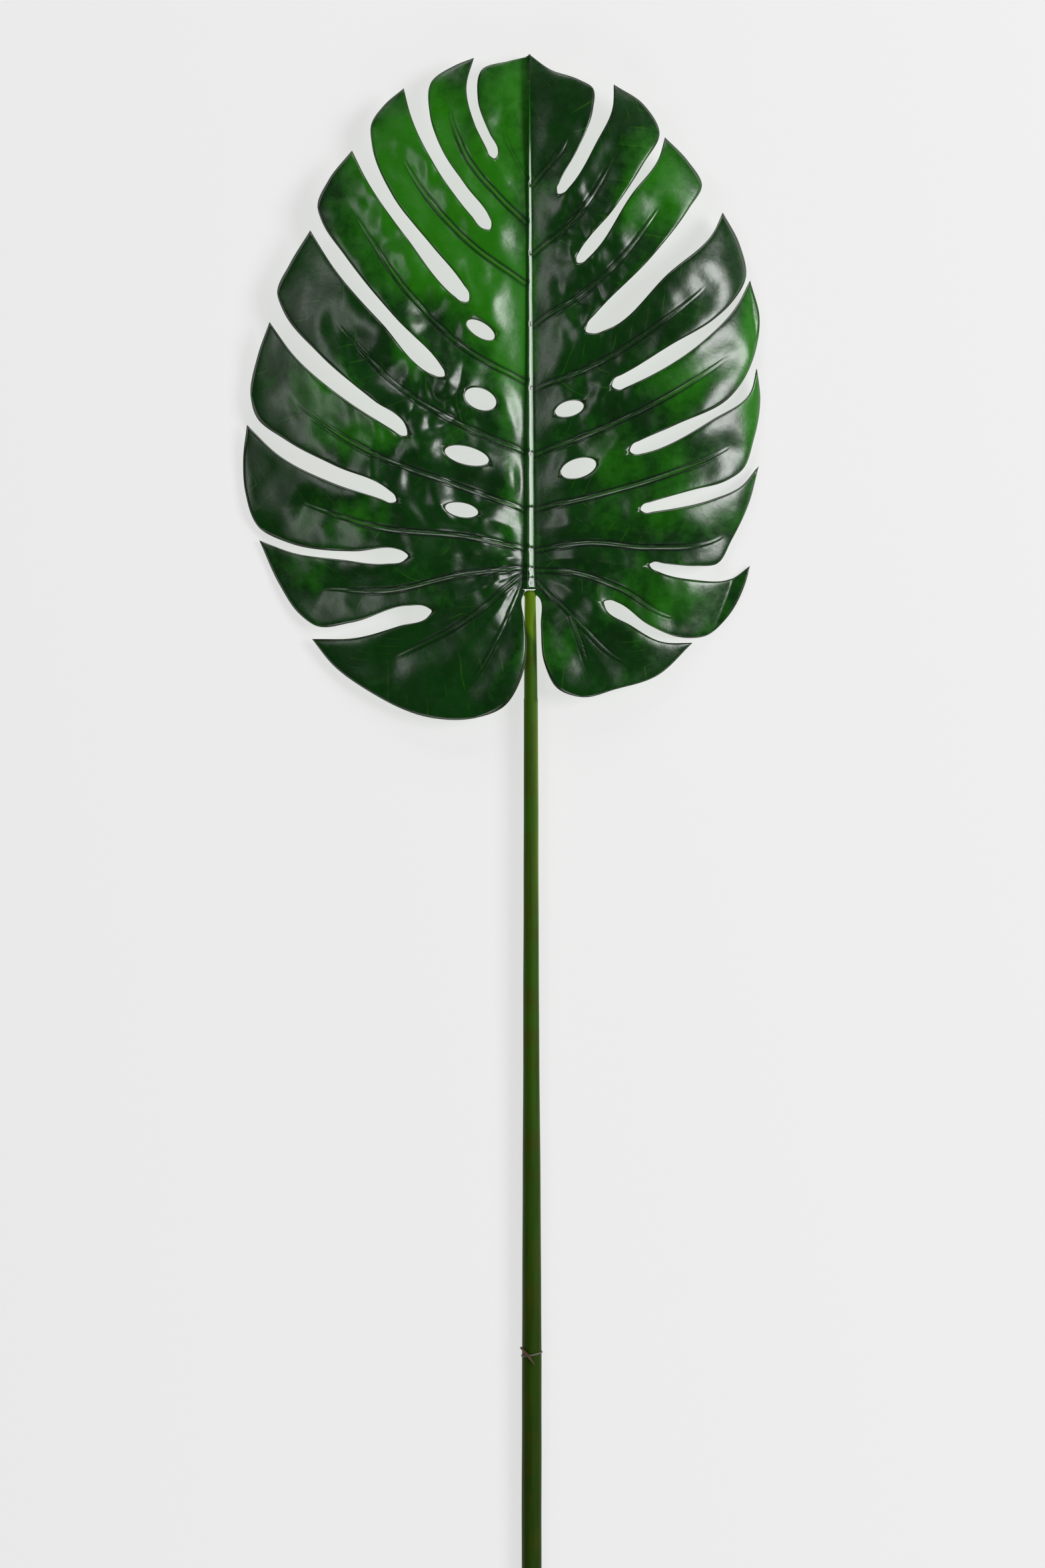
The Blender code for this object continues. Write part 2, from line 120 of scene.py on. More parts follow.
def nearest(points: Array, line: Array) -> tuple[Array, Array]:
    """Measure points against a line of straight stretches.

    Each point is dropped at a right angle onto every stretch, held between that stretch's ends, and
    the closest foot counts.

    Args:
        points: any array of (x, y) pairs.
        line: the line's corners.

    Returns:
        The distance to the line, and the share of the line's length where the closest foot lies.
    """
    steps = np.diff(line, axis=0)
    lengths = np.linalg.norm(steps, axis=1)
    before = np.r_[0.0, np.cumsum(lengths)]
    offset = points.reshape(-1, 1, 2) - line[:-1]
    foot = np.clip((offset * steps).sum(-1) / np.maximum(lengths**2, 1e-12), 0, 1)
    gap = np.square(offset - foot[..., None] * steps).sum(-1)
    best = gap.argmin(axis=1)
    row = np.arange(len(best))
    share = (before[best] + foot[row, best] * lengths[best]) / before[-1]
    return np.sqrt(gap[row, best]).reshape(points.shape[:-1]), share.reshape(points.shape[:-1])


LATTICE = 64
NOISE_GAIN = 1.5


def noise(points: Array, size: Point, seed: int, turn: float = 0.0) -> Array:
    """Work out smooth seeded bumps, from about -1 to 1.

    A lattice of cells covers the plane, and each corner holds a slope in a random direction. A
    point's value is the mean of what its four corners' slopes reach there, blended by a quintic.

    Args:
        points: any array of (x, y) pairs in millimetres.
        size: a cell's two sides in millimetres.
        seed: of the random directions.
        turn: angle by which the lattice is turned, in degrees.

    Returns:
        One value for each point.
    """
    angle = np.random.default_rng(seed).uniform(0, 2 * math.pi, (LATTICE, LATTICE))
    slopes = np.stack([np.cos(angle), np.sin(angle)], -1)
    c, s = math.cos(math.radians(turn)), math.sin(math.radians(turn))
    cell = points @ np.array([[c, s], [-s, c]]) / np.array(size)
    base = np.floor(cell).astype(int)
    inside = cell - base
    fade = inside**3 * (inside * (inside * 6 - 15) + 10)
    total = np.zeros(points.shape[:-1])
    for i, j in ((0, 0), (0, 1), (1, 0), (1, 1)):
        corner = slopes[(base[..., 0] + i) % LATTICE, (base[..., 1] + j) % LATTICE]
        reach = (corner * (inside - (i, j))).sum(-1)
        weight = np.abs(1 - i - fade[..., 0]) * np.abs(1 - j - fade[..., 1])
        total += weight * reach
    return total * NOISE_GAIN


@dataclass(frozen=True)
class Bumps:
    """One layer of noise: a cell's two sides in millimetres, seed, turn in degrees, and height."""

    size: Point
    seed: int
    turn: float = 0.0
    height: float = 1.0

    def at(self, points: Array) -> Array:
        """Return the layer's value at each point."""
        return noise(points, self.size, self.seed, self.turn) * self.height


def smooth(value: Array) -> Array:
    """Return 0 below 0, 1 above 1, and the S-shaped cubic between them."""
    t = np.clip(value, 0, 1)
    return t * t * (3 - 2 * t)


@dataclass(frozen=True)
class Spot:
    """A soft oval place on the leaf, in millimetres."""

    x: float
    y: float
    reach_x: float
    reach_y: float
    strength: float


def bell(value: Array, width: float) -> Array:
    """Return 1 where the value is 0, falling off as a bell over the width."""
    return np.exp(-np.square(value / width))


def spotted(points: Array, spots: tuple[Spot, ...]) -> Array:
    """Add up bell-shaped spots: each falls off with the square of the distance over its reach."""
    total = np.zeros(points.shape[:-1])
    for spot in spots:
        offset = (points - (spot.x, spot.y)) / (spot.reach_x, spot.reach_y)
        total += spot.strength * np.exp(-np.square(offset).sum(-1))
    return total


def grid_faces(rows: int, columns: int, closed: bool = False) -> Array:
    """Return the four-cornered faces of a grid of points, with its last column joined to its first
    where it is closed."""
    index = np.arange(rows * columns).reshape(rows, columns)
    if closed:
        index = np.concatenate([index, index[:, :1]], axis=1)
    corners = (index[:-1, :-1], index[:-1, 1:], index[1:, 1:], index[1:, :-1])
    return np.stack(corners, -1).reshape(-1, 4)


@dataclass
class Skin:
    """The points and faces of one piece, gathered grid by grid before they become a mesh."""

    points: list[Array] = field(default_factory=list)
    faces: list[Array] = field(default_factory=list)
    flow: list[Array] = field(default_factory=list)
    paint: list[Array] = field(default_factory=list)
    count: int = 0

    def add(self, points: Array, flow: Array, paint: Array, closed: bool = False) -> None:
        """Take in one grid.

        Args:
            points: rows and columns of (x, y, z) in metres.
            flow: the same rows and columns of (along, across) in metres, for patterns.
            paint: the same rows and columns of four masks.
            closed: whether the last column joins the first.
        """
        rows, columns = points.shape[:2]
        self.faces.append(grid_faces(rows, columns, closed) + self.count)
        self.points.append(points.reshape(-1, 3))
        self.flow.append(flow.reshape(-1, 2))
        self.paint.append(paint.reshape(-1, 4))
        self.count += rows * columns

    def piece(self, name: str, finishes: list[bpy.types.Material],
              open_sheet: bool = False) -> bpy.types.Object:
        """Make the object: a welded mesh with its faces outward, or upward if it is an open sheet.

        Args:
            name: of the object and its mesh.
            finishes: materials, in the order of their slots.
            open_sheet: whether it is a sheet seen from above and not yet a closed body.

        Returns:
            The new object, linked to the scene.
        """
        mesh = bpy.data.meshes.new(name)
        faces = np.vstack(self.faces)
        mesh.from_pydata(np.vstack(self.points), [], faces)
        layer = mesh.uv_layers.new(name="flow")
        layer.uv.foreach_set("vector", np.vstack(self.flow)[faces.ravel()].astype(np.float32).ravel())
        masks = mesh.attributes.new("paint", "FLOAT_COLOR", "POINT")
        masks.data.foreach_set("color", np.vstack(self.paint).astype(np.float32).ravel())
        bm = bmesh.new()
        bm.from_mesh(mesh)
        bmesh.ops.remove_doubles(bm, verts=bm.verts, dist=WELD)
        bmesh.ops.recalc_face_normals(bm, faces=bm.faces)
        if open_sheet and sum(face.normal.z for face in bm.faces) < 0:
            bmesh.ops.reverse_faces(bm, faces=bm.faces)
        bm.to_mesh(mesh)
        bm.free()
        mesh.shade_smooth()
        for finish in finishes:
            mesh.materials.append(finish)
        made = bpy.data.objects.new(name, mesh)
        bpy.context.scene.collection.objects.link(made)
        return made


# ---------------------------------------------------------------------------------------------
# The leaf's drawing
# ---------------------------------------------------------------------------------------------


@dataclass(frozen=True)
class Slit:
    """One slit and its surroundings, in millimetres as (out from the midrib, up).

    The line goes in along the upper edge of the lobe below, round the slit's root, out along the
    lower edge of the lobe above, round that lobe's corner and along its rim to its tip.
    """

    seam: float
    inward: tuple[Point, ...]
    root: Point
    end: float
    outward: tuple[Point, ...]
    corner: Point
    rim: tuple[Point, ...]
    hole: tuple[Point, Point, float] | None = None


@dataclass(frozen=True)
class Foot:
    """The lowest lobe's free side, from the midrib's foot round to its tip."""

    outward: tuple[Point, ...]
    corner: Point
    rim: tuple[Point, ...]


@dataclass(frozen=True)
class Vein:
    """A lateral vein: where it leaves the midrib and the places that its ridge passes.

    A lobe's grid follows the same line and goes on to the rim. drawn is the ridge's own line where
    it differs, as on a vein that branches from another one.
    """

    up: float
    places: tuple[Point, ...]
    strength: float = 1.0
    drawn: tuple[Point, ...] | None = None


APEX: Point = (0.0, 276.3)


@dataclass(frozen=True)
class HalfDrawing:
    """Everything that is listed place by place of one half of the blade, from the apex down."""

    side: Side
    slits: tuple[Slit, ...]
    foot: Foot
    veins: tuple[tuple[Vein, ...], ...]
    hairlines: tuple[tuple[Point, ...], ...]


LEFT_HALF = HalfDrawing(
    side=Side.LEFT,
    slits=(
        Slit(seam=203.0, inward=((28.6, 274.3), (32.4, 259.0), (28.0, 238.5), (21.8, 225.5)),
             root=(17.8, 221.0), end=2.2, outward=((16.2, 226.0), (20.4, 234.3), (26.6, 252.0)),
             corner=(24.5, 268.0), rim=((11.0, 272.9), APEX)),
        Slit(seam=171.0, inward=((64.9, 258.1), (61.4, 244.3), (47.6, 215.3), (29.7, 190.8)),
             root=(20.2, 184.0), end=2.6,
             outward=((20.8, 190.8), (32.4, 206.0), (45.0, 225.3), (51.4, 244.3)),
             corner=(50.6, 261.5), rim=((39.5, 269.6), (28.6, 274.3))),
        Slit(seam=124.5, hole=((18.0, 128.0), (32.0, 136.4), 7.4),
             inward=((91.6, 225.6), (84.2, 210.4), (62.4, 178.4), (38.5, 149.2)),
             root=(31.4, 146.6), end=2.8,
             outward=((34.0, 155.4), (50.0, 174.9), (70.4, 201.1), (81.4, 229.1)),
             corner=(81.8, 238.5), rim=((75.0, 249.4), (64.9, 258.1))),
        Slit(seam=87.0, hole=((17.2, 93.6), (33.0, 99.4), 10.8),
             inward=((113.2, 184.2), (100.7, 164.2), (75.9, 135.2), (49.3, 108.7)),
             root=(43.6, 108.0), end=1.8,
             outward=((45.4, 113.3), (68.7, 137.7), (94.9, 170.1), (107.6, 189.8)),
             corner=(109.4, 196.0), rim=((104.0, 210.0), (91.6, 225.6))),
        Slit(seam=54.5, hole=((20.8, 64.6), (43.4, 70.0), 9.2),
             inward=((134.5, 137.3), (121.4, 119.4), (94.9, 96.3), (70.0, 80.2)),
             root=(63.0, 77.6), end=1.7,
             outward=((63.6, 82.2), (80.4, 95.6), (108.7, 120.1), (127.6, 143.5)),
             corner=(130.4, 152.0), rim=((124.0, 167.0), (113.2, 184.2))),
        Slit(seam=29.0, hole=((26.4, 38.0), (43.2, 41.0), 7.4),
             inward=((146.6, 84.5), (130.1, 68.7), (99.7, 52.8), (76.0, 44.8)),
             root=(68.6, 43.8), end=2.0,
             outward=((72.2, 49.3), (100.7, 62.4), (126.0, 76.0), (142.0, 89.4)),
             corner=(144.6, 100.0), rim=((141.0, 119.5), (134.5, 137.3))),
        Slit(seam=14.5, inward=((140.4, 24.8), (122.1, 17.9), (96.9, 14.1), (74.0, 11.8)),
             root=(62.6, 15.8), end=2.2, outward=((68.0, 19.2), (90.4, 18.2), (126.6, 23.8)),
             corner=(140.5, 31.4), rim=((147.6, 50.0), (148.6, 68.0), (146.6, 84.5))),
        Slit(seam=8.0, inward=((112.8, -26.6), (89.7, -26.2), (66.6, -20.0)),
             root=(50.4, -12.6), end=2.4, outward=((62.4, -9.8), (91.8, -18.3)),
             corner=(110.7, -19.8), rim=((119.0, -14.0), (130.0, 2.0), (140.4, 24.8))),
    ),
    foot=Foot(outward=((2.4, -1.4), (3.8, -6.0), (2.6, -17.0), (1.2, -32.0), (4.2, -47.5), (13.0, -61.8)),
              corner=(28.0, -67.8),
              rim=((50.0, -67.8), (84.9, -52.8), (102.1, -40.0), (112.8, -26.6))),
    veins=(
        (Vein(210.0, ((14.0, 238.0),), strength=0.3),),
        (Vein(188.0, ((14.0, 199.4), (34.0, 225.0), (40.5, 245.0))),),
        (Vein(156.6, ((29.3, 175.6), (58.0, 208.7), (64.0, 219.4))),),
        (Vein(106.0, ((32.1, 121.8), (60.7, 149.0), (88.3, 189.4))),),
        (Vein(69.7, ((32.1, 81.8), (63.8, 100.0), (96.9, 133.2))),),
        (Vein(40.0, ((39.0, 52.8), (83.8, 69.7), (119.4, 94.2))),),
        (Vein(20.0, ((32.4, 25.9), (77.3, 30.4), (115.6, 42.8))),),
        (Vein(9.8, ((32.4, 6.6), (74.9, -2.1), (103.5, -1.0))),),
        (Vein(3.4, ((15.9, -25.2), (32.1, -52.8)), strength=0.5),
         Vein(6.4, ((32.4, -16.9), (68.0, -35.9)))),
    ),
    hairlines=(
        ((1.5, 226.0), (6.0, 246.0), (9.5, 262.0)),
        ((30.0, 186.0), (46.0, 204.0)),
        ((6.0, 112.0), (20.0, 119.0)),
    ),
)

RIGHT_HALF = HalfDrawing(
    side=Side.RIGHT,
    slits=(
        Slit(seam=188.0, inward=((43.8, 259.8), (43.0, 247.0), (34.8, 229.1), (20.6, 205.6)),
             root=(15.0, 202.4), end=2.2, outward=((15.6, 208.6), (25.2, 226.0), (32.8, 245.6)),
             corner=(32.8, 257.8), rim=((25.5, 262.2), (11.5, 267.4), APEX)),
        Slit(seam=153.0, inward=((70.2, 232.4), (66.9, 221.1), (53.1, 202.2), (30.2, 168.8)),
             root=(24.8, 166.6), end=2.2, outward=((25.6, 171.9), (44.2, 194.9), (58.6, 217.3)),
             corner=(67.4, 235.0), rim=((59.0, 249.8), (43.8, 259.8))),
        Slit(seam=117.5, inward=((100.4, 194.2), (95.2, 183.2), (71.4, 160.8), (40.0, 132.2)),
             root=(29.2, 131.2), end=2.8, outward=((34.0, 140.0), (63.1, 169.4), (82.8, 195.6)),
             corner=(89.4, 208.0), rim=((82.0, 220.5), (70.2, 232.4))),
        Slit(seam=85.0, hole=((13.4, 89.9), (28.0, 93.6), 7.8),
             inward=((114.8, 159.6), (108.4, 147.0), (88.7, 125.6), (50.0, 102.6)),
             root=(42.8, 103.0), end=3.2,
             outward=((47.5, 108.8), (72.8, 123.9), (95.9, 138.3), (105.2, 147.6)),
             corner=(112.6, 161.5), rim=((109.4, 178.0), (100.4, 194.2))),
        Slit(seam=54.0, hole=((16.4, 58.6), (34.4, 63.8), 9.8),
             inward=((118.3, 113.5), (115.2, 101.8), (94.2, 85.9), (57.0, 68.2)),
             root=(52.0, 69.6), end=2.8, outward=((57.0, 75.0), (75.6, 83.1), (103.8, 98.0)),
             corner=(110.5, 106.5), rim=((117.4, 122.5), (119.7, 140.0), (114.8, 159.6))),
        Slit(seam=29.0, inward=((119.4, 63.5), (110.4, 52.8), (94.2, 45.2), (64.0, 38.6)),
             root=(57.4, 39.8), end=2.2, outward=((62.0, 43.3), (85.0, 50.0), (102.0, 55.0)),
             corner=(110.4, 60.8), rim=((116.6, 77.0), (120.1, 99.0), (118.3, 113.5))),
        Slit(seam=13.5, inward=((114.9, 11.7), (106.0, 5.2), (84.2, 4.0), (67.0, 7.8)),
             root=(62.2, 11.6), end=1.5, outward=((70.0, 12.0), (86.0, 11.0)),
             corner=(97.6, 12.4), rim=((105.0, 24.5), (114.5, 44.8), (119.4, 63.5))),
        Slit(seam=5.5, inward=((84.9, -28.6), (68.3, -28.1), (52.4, -19.7)),
             root=(38.8, -7.6), end=2.2, outward=((46.0, -8.2), (62.1, -19.7), (80.0, -26.0)),
             corner=(92.5, -24.6), rim=((102.0, -16.5), (113.0, 4.0), (114.9, 11.7))),
    ),
    foot=Foot(outward=((2.6, -1.6), (5.6, -6.0), (6.0, -20.0), (8.0, -40.0), (14.5, -52.4)),
              corner=(27.0, -57.0), rim=((45.0, -52.8), (66.0, -46.0), (84.9, -28.6))),
    veins=(
        (Vein(207.0, ((20.0, 232.2),), strength=0.9),),
        (Vein(171.5, ((20.4, 186.3), (44.8, 222.9))),),
        (Vein(134.9, ((36.6, 158.0), (66.2, 194.2))),),
        (Vein(101.8, ((35.9, 115.2), (63.8, 132.8), (90.0, 154.2))),),
        (Vein(68.3, ((42.4, 83.5), (79.0, 102.5), (103.2, 119.7))),),
        (Vein(40.0, ((36.6, 47.6), (72.1, 58.0), (102.8, 71.8))),),
        (Vein(19.0, ((30.4, 22.8), (62.1, 20.4), (99.7, 25.9))),),
        (Vein(8.8, ((22.4, 7.6), (46.2, -0.3), (73.5, -15.5))),),
        (Vein(1.4, ((12.0, -13.5), (20.0, -24.0), (28.6, -41.0)), strength=0.9,
              drawn=((21.4, -14.4), (25.6, -26.0), (30.2, -41.6))),
         Vein(3.6, ((22.4, -15.2), (50.0, -39.0)))),
    ),
    hairlines=(
        ((7.5, -4.0), (10.5, -20.0), (15.4, -35.5)),
        ((4.0, 26.0), (40.0, 30.0), (70.0, 27.0)),
        ((30.0, 22.0), (44.0, 12.0), (60.0, 16.0)),
    ),
)


# ---------------------------------------------------------------------------------------------
# The flat plan: lobes as grids
# ---------------------------------------------------------------------------------------------


@dataclass(frozen=True)
class LobeGrid:
    """One lobe in the plane: rows go from the midrib to the rim, columns from lower to upper side."""

    points: Array
    flow: Array


@dataclass
class LeafPlan:
    """Turns a half's drawing into grids. All sizes are in millimetres."""

    midrib_ups: tuple[float, ...] = (-2.0, 12.0, 65.0, 150.0, 205.0, 258.0)
    midrib_half_widths: tuple[float, ...] = (3.4, 2.6, 2.4, 1.7, 1.2, 0.4)
    seat_margin: float = 0.5
    foot_seat_at: float = -1.0
    foot_up: float = -0.8
    seat_closing: float = 8.0
    rows_to_hole: int = 9
    rows_along_hole: int = 20
    rows_to_root: int = 11
    free_rows: int = 76
    plan_columns: int = 12
    columns: int = 18
    root_crowding: float = 1.6
    vein_crowding: float = 1.5
    shoulder: float = 0.9
    rim_share: float = 0.5
    paired_rim_shares: tuple[float, float] = (0.18, 0.72)
    easing_passes: int = 260
    seat_columns: int = 5

    @property
    def seam_rows(self) -> int:
        """The number of rows from the midrib to a slit's root."""
        return self.rows_to_hole + self.rows_along_hole + self.rows_to_root

    def midrib_half_width(self, up: Array | float) -> Array:
        """Return the midrib's half width at a distance from its foot."""
        return np.interp(up, self.midrib_ups, self.midrib_half_widths)

    def seat_half_width(self, up: Array | float) -> Array:
        """Return the half width of the flat strip under the midrib, which closes at the apex."""
        closing = np.clip((APEX[1] - np.asarray(up, float)) / self.seat_closing, 0, 1)
        return (self.midrib_half_width(up) + self.seat_margin) * closing

    def slit_curve(self, slit: Slit) -> tuple[Array, int, int]:
        """Draw a slit with a rounded root.

        The root's two shoulders stand a half width to each side of the slit's own axis, a little
        behind the root.

        Args:
            slit: the slit to draw.

        Returns:
            The whole curve, and the indices of its root and of the next lobe's corner.
        """
        root = np.array(slit.root)
        axis = (np.array(slit.inward[-1]) + slit.outward[0]) / 2 - root
        axis *= slit.end / np.linalg.norm(axis)
        across = np.array([axis[1], -axis[0]])
        back = root + self.shoulder * axis
        points = [*slit.inward, back + across, root, back - across, *slit.outward, slit.corner, *slit.rim]
        middle = (len(slit.inward) + 1) * CURVE_STEPS
        corner = middle + (2 + len(slit.outward)) * CURVE_STEPS
        return through(points), middle, corner

    def foot_curve(self, foot: Foot) -> tuple[Array, int]:
        """Draw the lowest lobe's free side, and say at which index its corner lies."""
        start = (float(self.seat_half_width(self.foot_seat_at)), self.foot_up)
        curve = through([start, *foot.outward, foot.corner, *foot.rim])
        return curve, (len(foot.outward) + 1) * CURVE_STEPS

    def seam_lines(self, slit: Slit) -> tuple[Array, Array]:
        """Return the seam's upper and lower side, row by row: one line, parted round an oval hole."""
        start = (float(self.seat_half_width(slit.seam)), slit.seam)
        if slit.hole is None:
            line = at(through([start, slit.root]), np.linspace(0, 1, self.seam_rows + 1))
            return line, line
        inner, outer = np.array(slit.hole[0]), np.array(slit.hole[1])
        turn = (1 - np.cos(np.linspace(0, math.pi, self.rows_along_hole + 1))) / 2
        line = np.vstack([
            np.linspace(start, inner, self.rows_to_hole + 1)[:-1],
            inner + turn[:, None] * (outer - inner),
            np.linspace(outer, slit.root, self.rows_to_root + 1)[1:],
        ])
        across = np.array([inner[1] - outer[1], outer[0] - inner[0]]) / np.linalg.norm(outer - inner)
        half = np.zeros(len(line))
        oval = np.sqrt(np.clip(1 - np.square(2 * turn - 1), 0, 1))
        half[self.rows_to_hole: self.rows_to_hole + len(turn)] = slit.hole[2] / 2 * oval
        return line + half[:, None] * across, line - half[:, None] * across

    def free_edge(self, edge: Array) -> Array:
        """Return the rows of a free edge beyond its root, crowded together at the rounded root."""
        where = np.linspace(0, 1, self.free_rows + 1)[1:]
        return at(edge, where**self.root_crowding)

    def eased(self, grid: Array) -> Array:
        """Ease a grid until its lines run smoothly and never cross.

        Each inner point moves to the balance of its neighbours in which the grid's own coordinates,
        seen as functions over the plane, have no curvature: neighbours along a row count by the
        squared spacing across it and the other way round, less the skew between them.
        """
        for _ in range(self.easing_passes):
            along = (grid[2:, 1:-1] - grid[:-2, 1:-1]) / 2
            across = (grid[1:-1, 2:] - grid[1:-1, :-2]) / 2
            wide = np.square(across).sum(-1, keepdims=True)
            long = np.square(along).sum(-1, keepdims=True)
            skew = (along * across).sum(-1, keepdims=True)
            corner = (grid[2:, 2:] - grid[2:, :-2] - grid[:-2, 2:] + grid[:-2, :-2]) / 4
            rows = grid[2:, 1:-1] + grid[:-2, 1:-1]
            columns = grid[1:-1, 2:] + grid[1:-1, :-2]
            moved = wide * rows + long * columns - 2 * skew * corner
            grid[1:-1, 1:-1] = moved / np.maximum(2 * (wide + long), 1e-9)
        return grid

    def strip(self, low: Array, high: Array, rim: Array, vein_low: bool, vein_high: bool) -> Array:
        """Lay a grid between two lines of a lobe.

        It is ruled from line to line, drawn out to the rim with the cube of the distance, eased, and
        its columns are then moved closer together beside a vein.

        Args:
            low: the strip's lower line, row by row.
            high: its upper line.
            rim: the points of its last row.
            vein_low: whether the lower line is a vein.
            vein_high: whether the upper line is a vein.

        Returns:
            The grid of points.
        """
        across = np.linspace(0, 1, self.plan_columns + 1)[None, :, None]
        rows = (shares(low) + shares(high)) / 2
        grid = low[:, None] * (1 - across) + high[:, None] * across
        grid = self.eased(grid + rows[:, None, None] ** 3 * (rim[None] - grid[-1:]))
        where = np.linspace(0, 1, self.columns + 1)
        if vein_low and vein_high:
            where = (where + smooth(where)) / 2
        elif vein_high:
            where = 1 - (1 - where) ** self.vein_crowding
        elif vein_low:
            where = where**self.vein_crowding
        i = np.minimum((where * self.plan_columns).astype(int), self.plan_columns - 1)
        part = (where * self.plan_columns - i)[None, :, None]
        return grid[:, i] * (1 - part) + grid[:, i + 1] * part

    def lobe(self, low: Array, high: Array, rim: Array, veins: tuple[Vein, ...]) -> LobeGrid:
        """Lay one lobe's grid: strips between its lower side, its veins and its upper side.

        Args:
            low: the lower side, row by row.
            high: the upper side.
            rim: the curve from the lower side's end to the upper side's.
            veins: the lobe's one or two veins, from the lower side up.

        Returns:
            The lobe's grid, with the distance along the lobe and across it from its last vein.
        """
        rows = (shares(low) + shares(high)) / 2
        middle = self.rim_shares(veins)
        ends = (0.0, *middle, 1.0)
        inner = [at(self.vein_line(vein, rim, share), rows) for vein, share in zip(veins, middle)]
        lines = [low, *inner, high]
        strips = []
        for index, (a, b, start, stop) in enumerate(zip(lines, lines[1:], ends, ends[1:])):
            edge = at(rim, np.linspace(start, stop, self.plan_columns + 1))
            strips.append(self.strip(a, b, edge, index > 0, index < len(veins)))
        points = np.hstack([strips[0], *(grid[:, 1:] for grid in strips[1:])])
        vein_column = self.columns * len(veins)
        along = np.cumsum(np.linalg.norm(np.diff(points[:, vein_column], axis=0), axis=1))
        across = np.cumsum(np.linalg.norm(np.diff(points, axis=1), axis=2), axis=1)
        across = np.pad(across, ((0, 0), (1, 0)))
        across = across - across[:, vein_column: vein_column + 1]
        along = np.broadcast_to(np.r_[0.0, along][:, None], across.shape)
        return LobeGrid(points, np.stack([along, across], -1))

    def half(self, drawing: HalfDrawing) -> list[LobeGrid]:
        """Lay all grids of a half: its lobes from the apex down, then the strip under the midrib."""
        foot, foot_corner = self.foot_curve(drawing.foot)
        ups = np.linspace(drawing.veins[0][-1].up, APEX[1], self.seam_rows + self.free_rows + 1)
        high = np.column_stack([self.seat_half_width(ups), ups])
        lobes = []
        for index, veins in enumerate(drawing.veins):
            if index < len(drawing.slits):
                slit = drawing.slits[index]
                curve, root, corner = self.slit_curve(slit)
                upper, lower = self.seam_lines(slit)
                low = np.vstack([upper, self.free_edge(curve[root: corner + 1])])
                rim = curve[corner:]
            else:
                low = at(foot[: foot_corner + 1], shares(high) ** self.root_crowding)
                rim = foot[foot_corner:]
            lobes.append(self.lobe(low, high, rim, veins))
            if index < len(drawing.slits):
                high = np.vstack([lower, self.free_edge(curve[: root + 1][::-1])])
        up_the_midrib = lobes[0].points[:, -1]
        chain = np.vstack([*(lobe.points[0, :-1] for lobe in reversed(lobes)), up_the_midrib])
        inward = np.linspace(1, 0, self.seat_columns + 1)
        along = np.broadcast_to(chain[:, 1:], (len(chain), len(inward)))
        seat = np.stack([chain[:, :1] * inward, along], -1)
        flow = np.stack([seat[..., 1], seat[..., 0]], -1)
        return [*lobes, LobeGrid(seat, flow)]

    def edges(self, drawing: HalfDrawing) -> list[Array]:
        """Return every free edge of a half: its slits, its foot and its holes."""
        found = [self.slit_curve(slit)[0] for slit in drawing.slits]
        found.append(self.foot_curve(drawing.foot)[0])
        for slit in drawing.slits:
            if slit.hole is not None:
                span = slice(self.rows_to_hole, self.rows_to_hole + self.rows_along_hole + 1)
                found.extend(line[span] for line in self.seam_lines(slit))
        return found

    def vein_line(self, vein: Vein, rim: Array, share: float) -> Array:
        """Return a vein's grid line, from the strip under the midrib to its share of the rim."""
        start = (float(self.seat_half_width(vein.up)), vein.up)
        return through([start, *vein.places, tuple(at(rim, share)[0])])

    def rim_shares(self, veins: tuple[Vein, ...]) -> tuple[float, ...]:
        """Return where along its rim each of a lobe's one or two veins ends."""
        return (self.rim_share,) if len(veins) == 1 else self.paired_rim_shares

    def ridges(self, drawing: HalfDrawing) -> list[tuple[Array, float]]:
        """Return every vein's ridge with its strength: its grid line as far as its last place."""
        rims = [self.slit_curve(slit) for slit in drawing.slits]
        rims = [curve[corner:] for curve, _, corner in rims]
        rims.append(through([drawing.foot.corner, *drawing.foot.rim]))
        found = []
        for rim, veins in zip(rims, drawing.veins):
            for vein, share in zip(veins, self.rim_shares(veins)):
                line = self.vein_line(vein, rim, share)[: len(vein.places) * CURVE_STEPS + 1]
                found.append((line if vein.drawn is None else through(vein.drawn), vein.strength))
        return found


# ---------------------------------------------------------------------------------------------
# The blade
# ---------------------------------------------------------------------------------------------


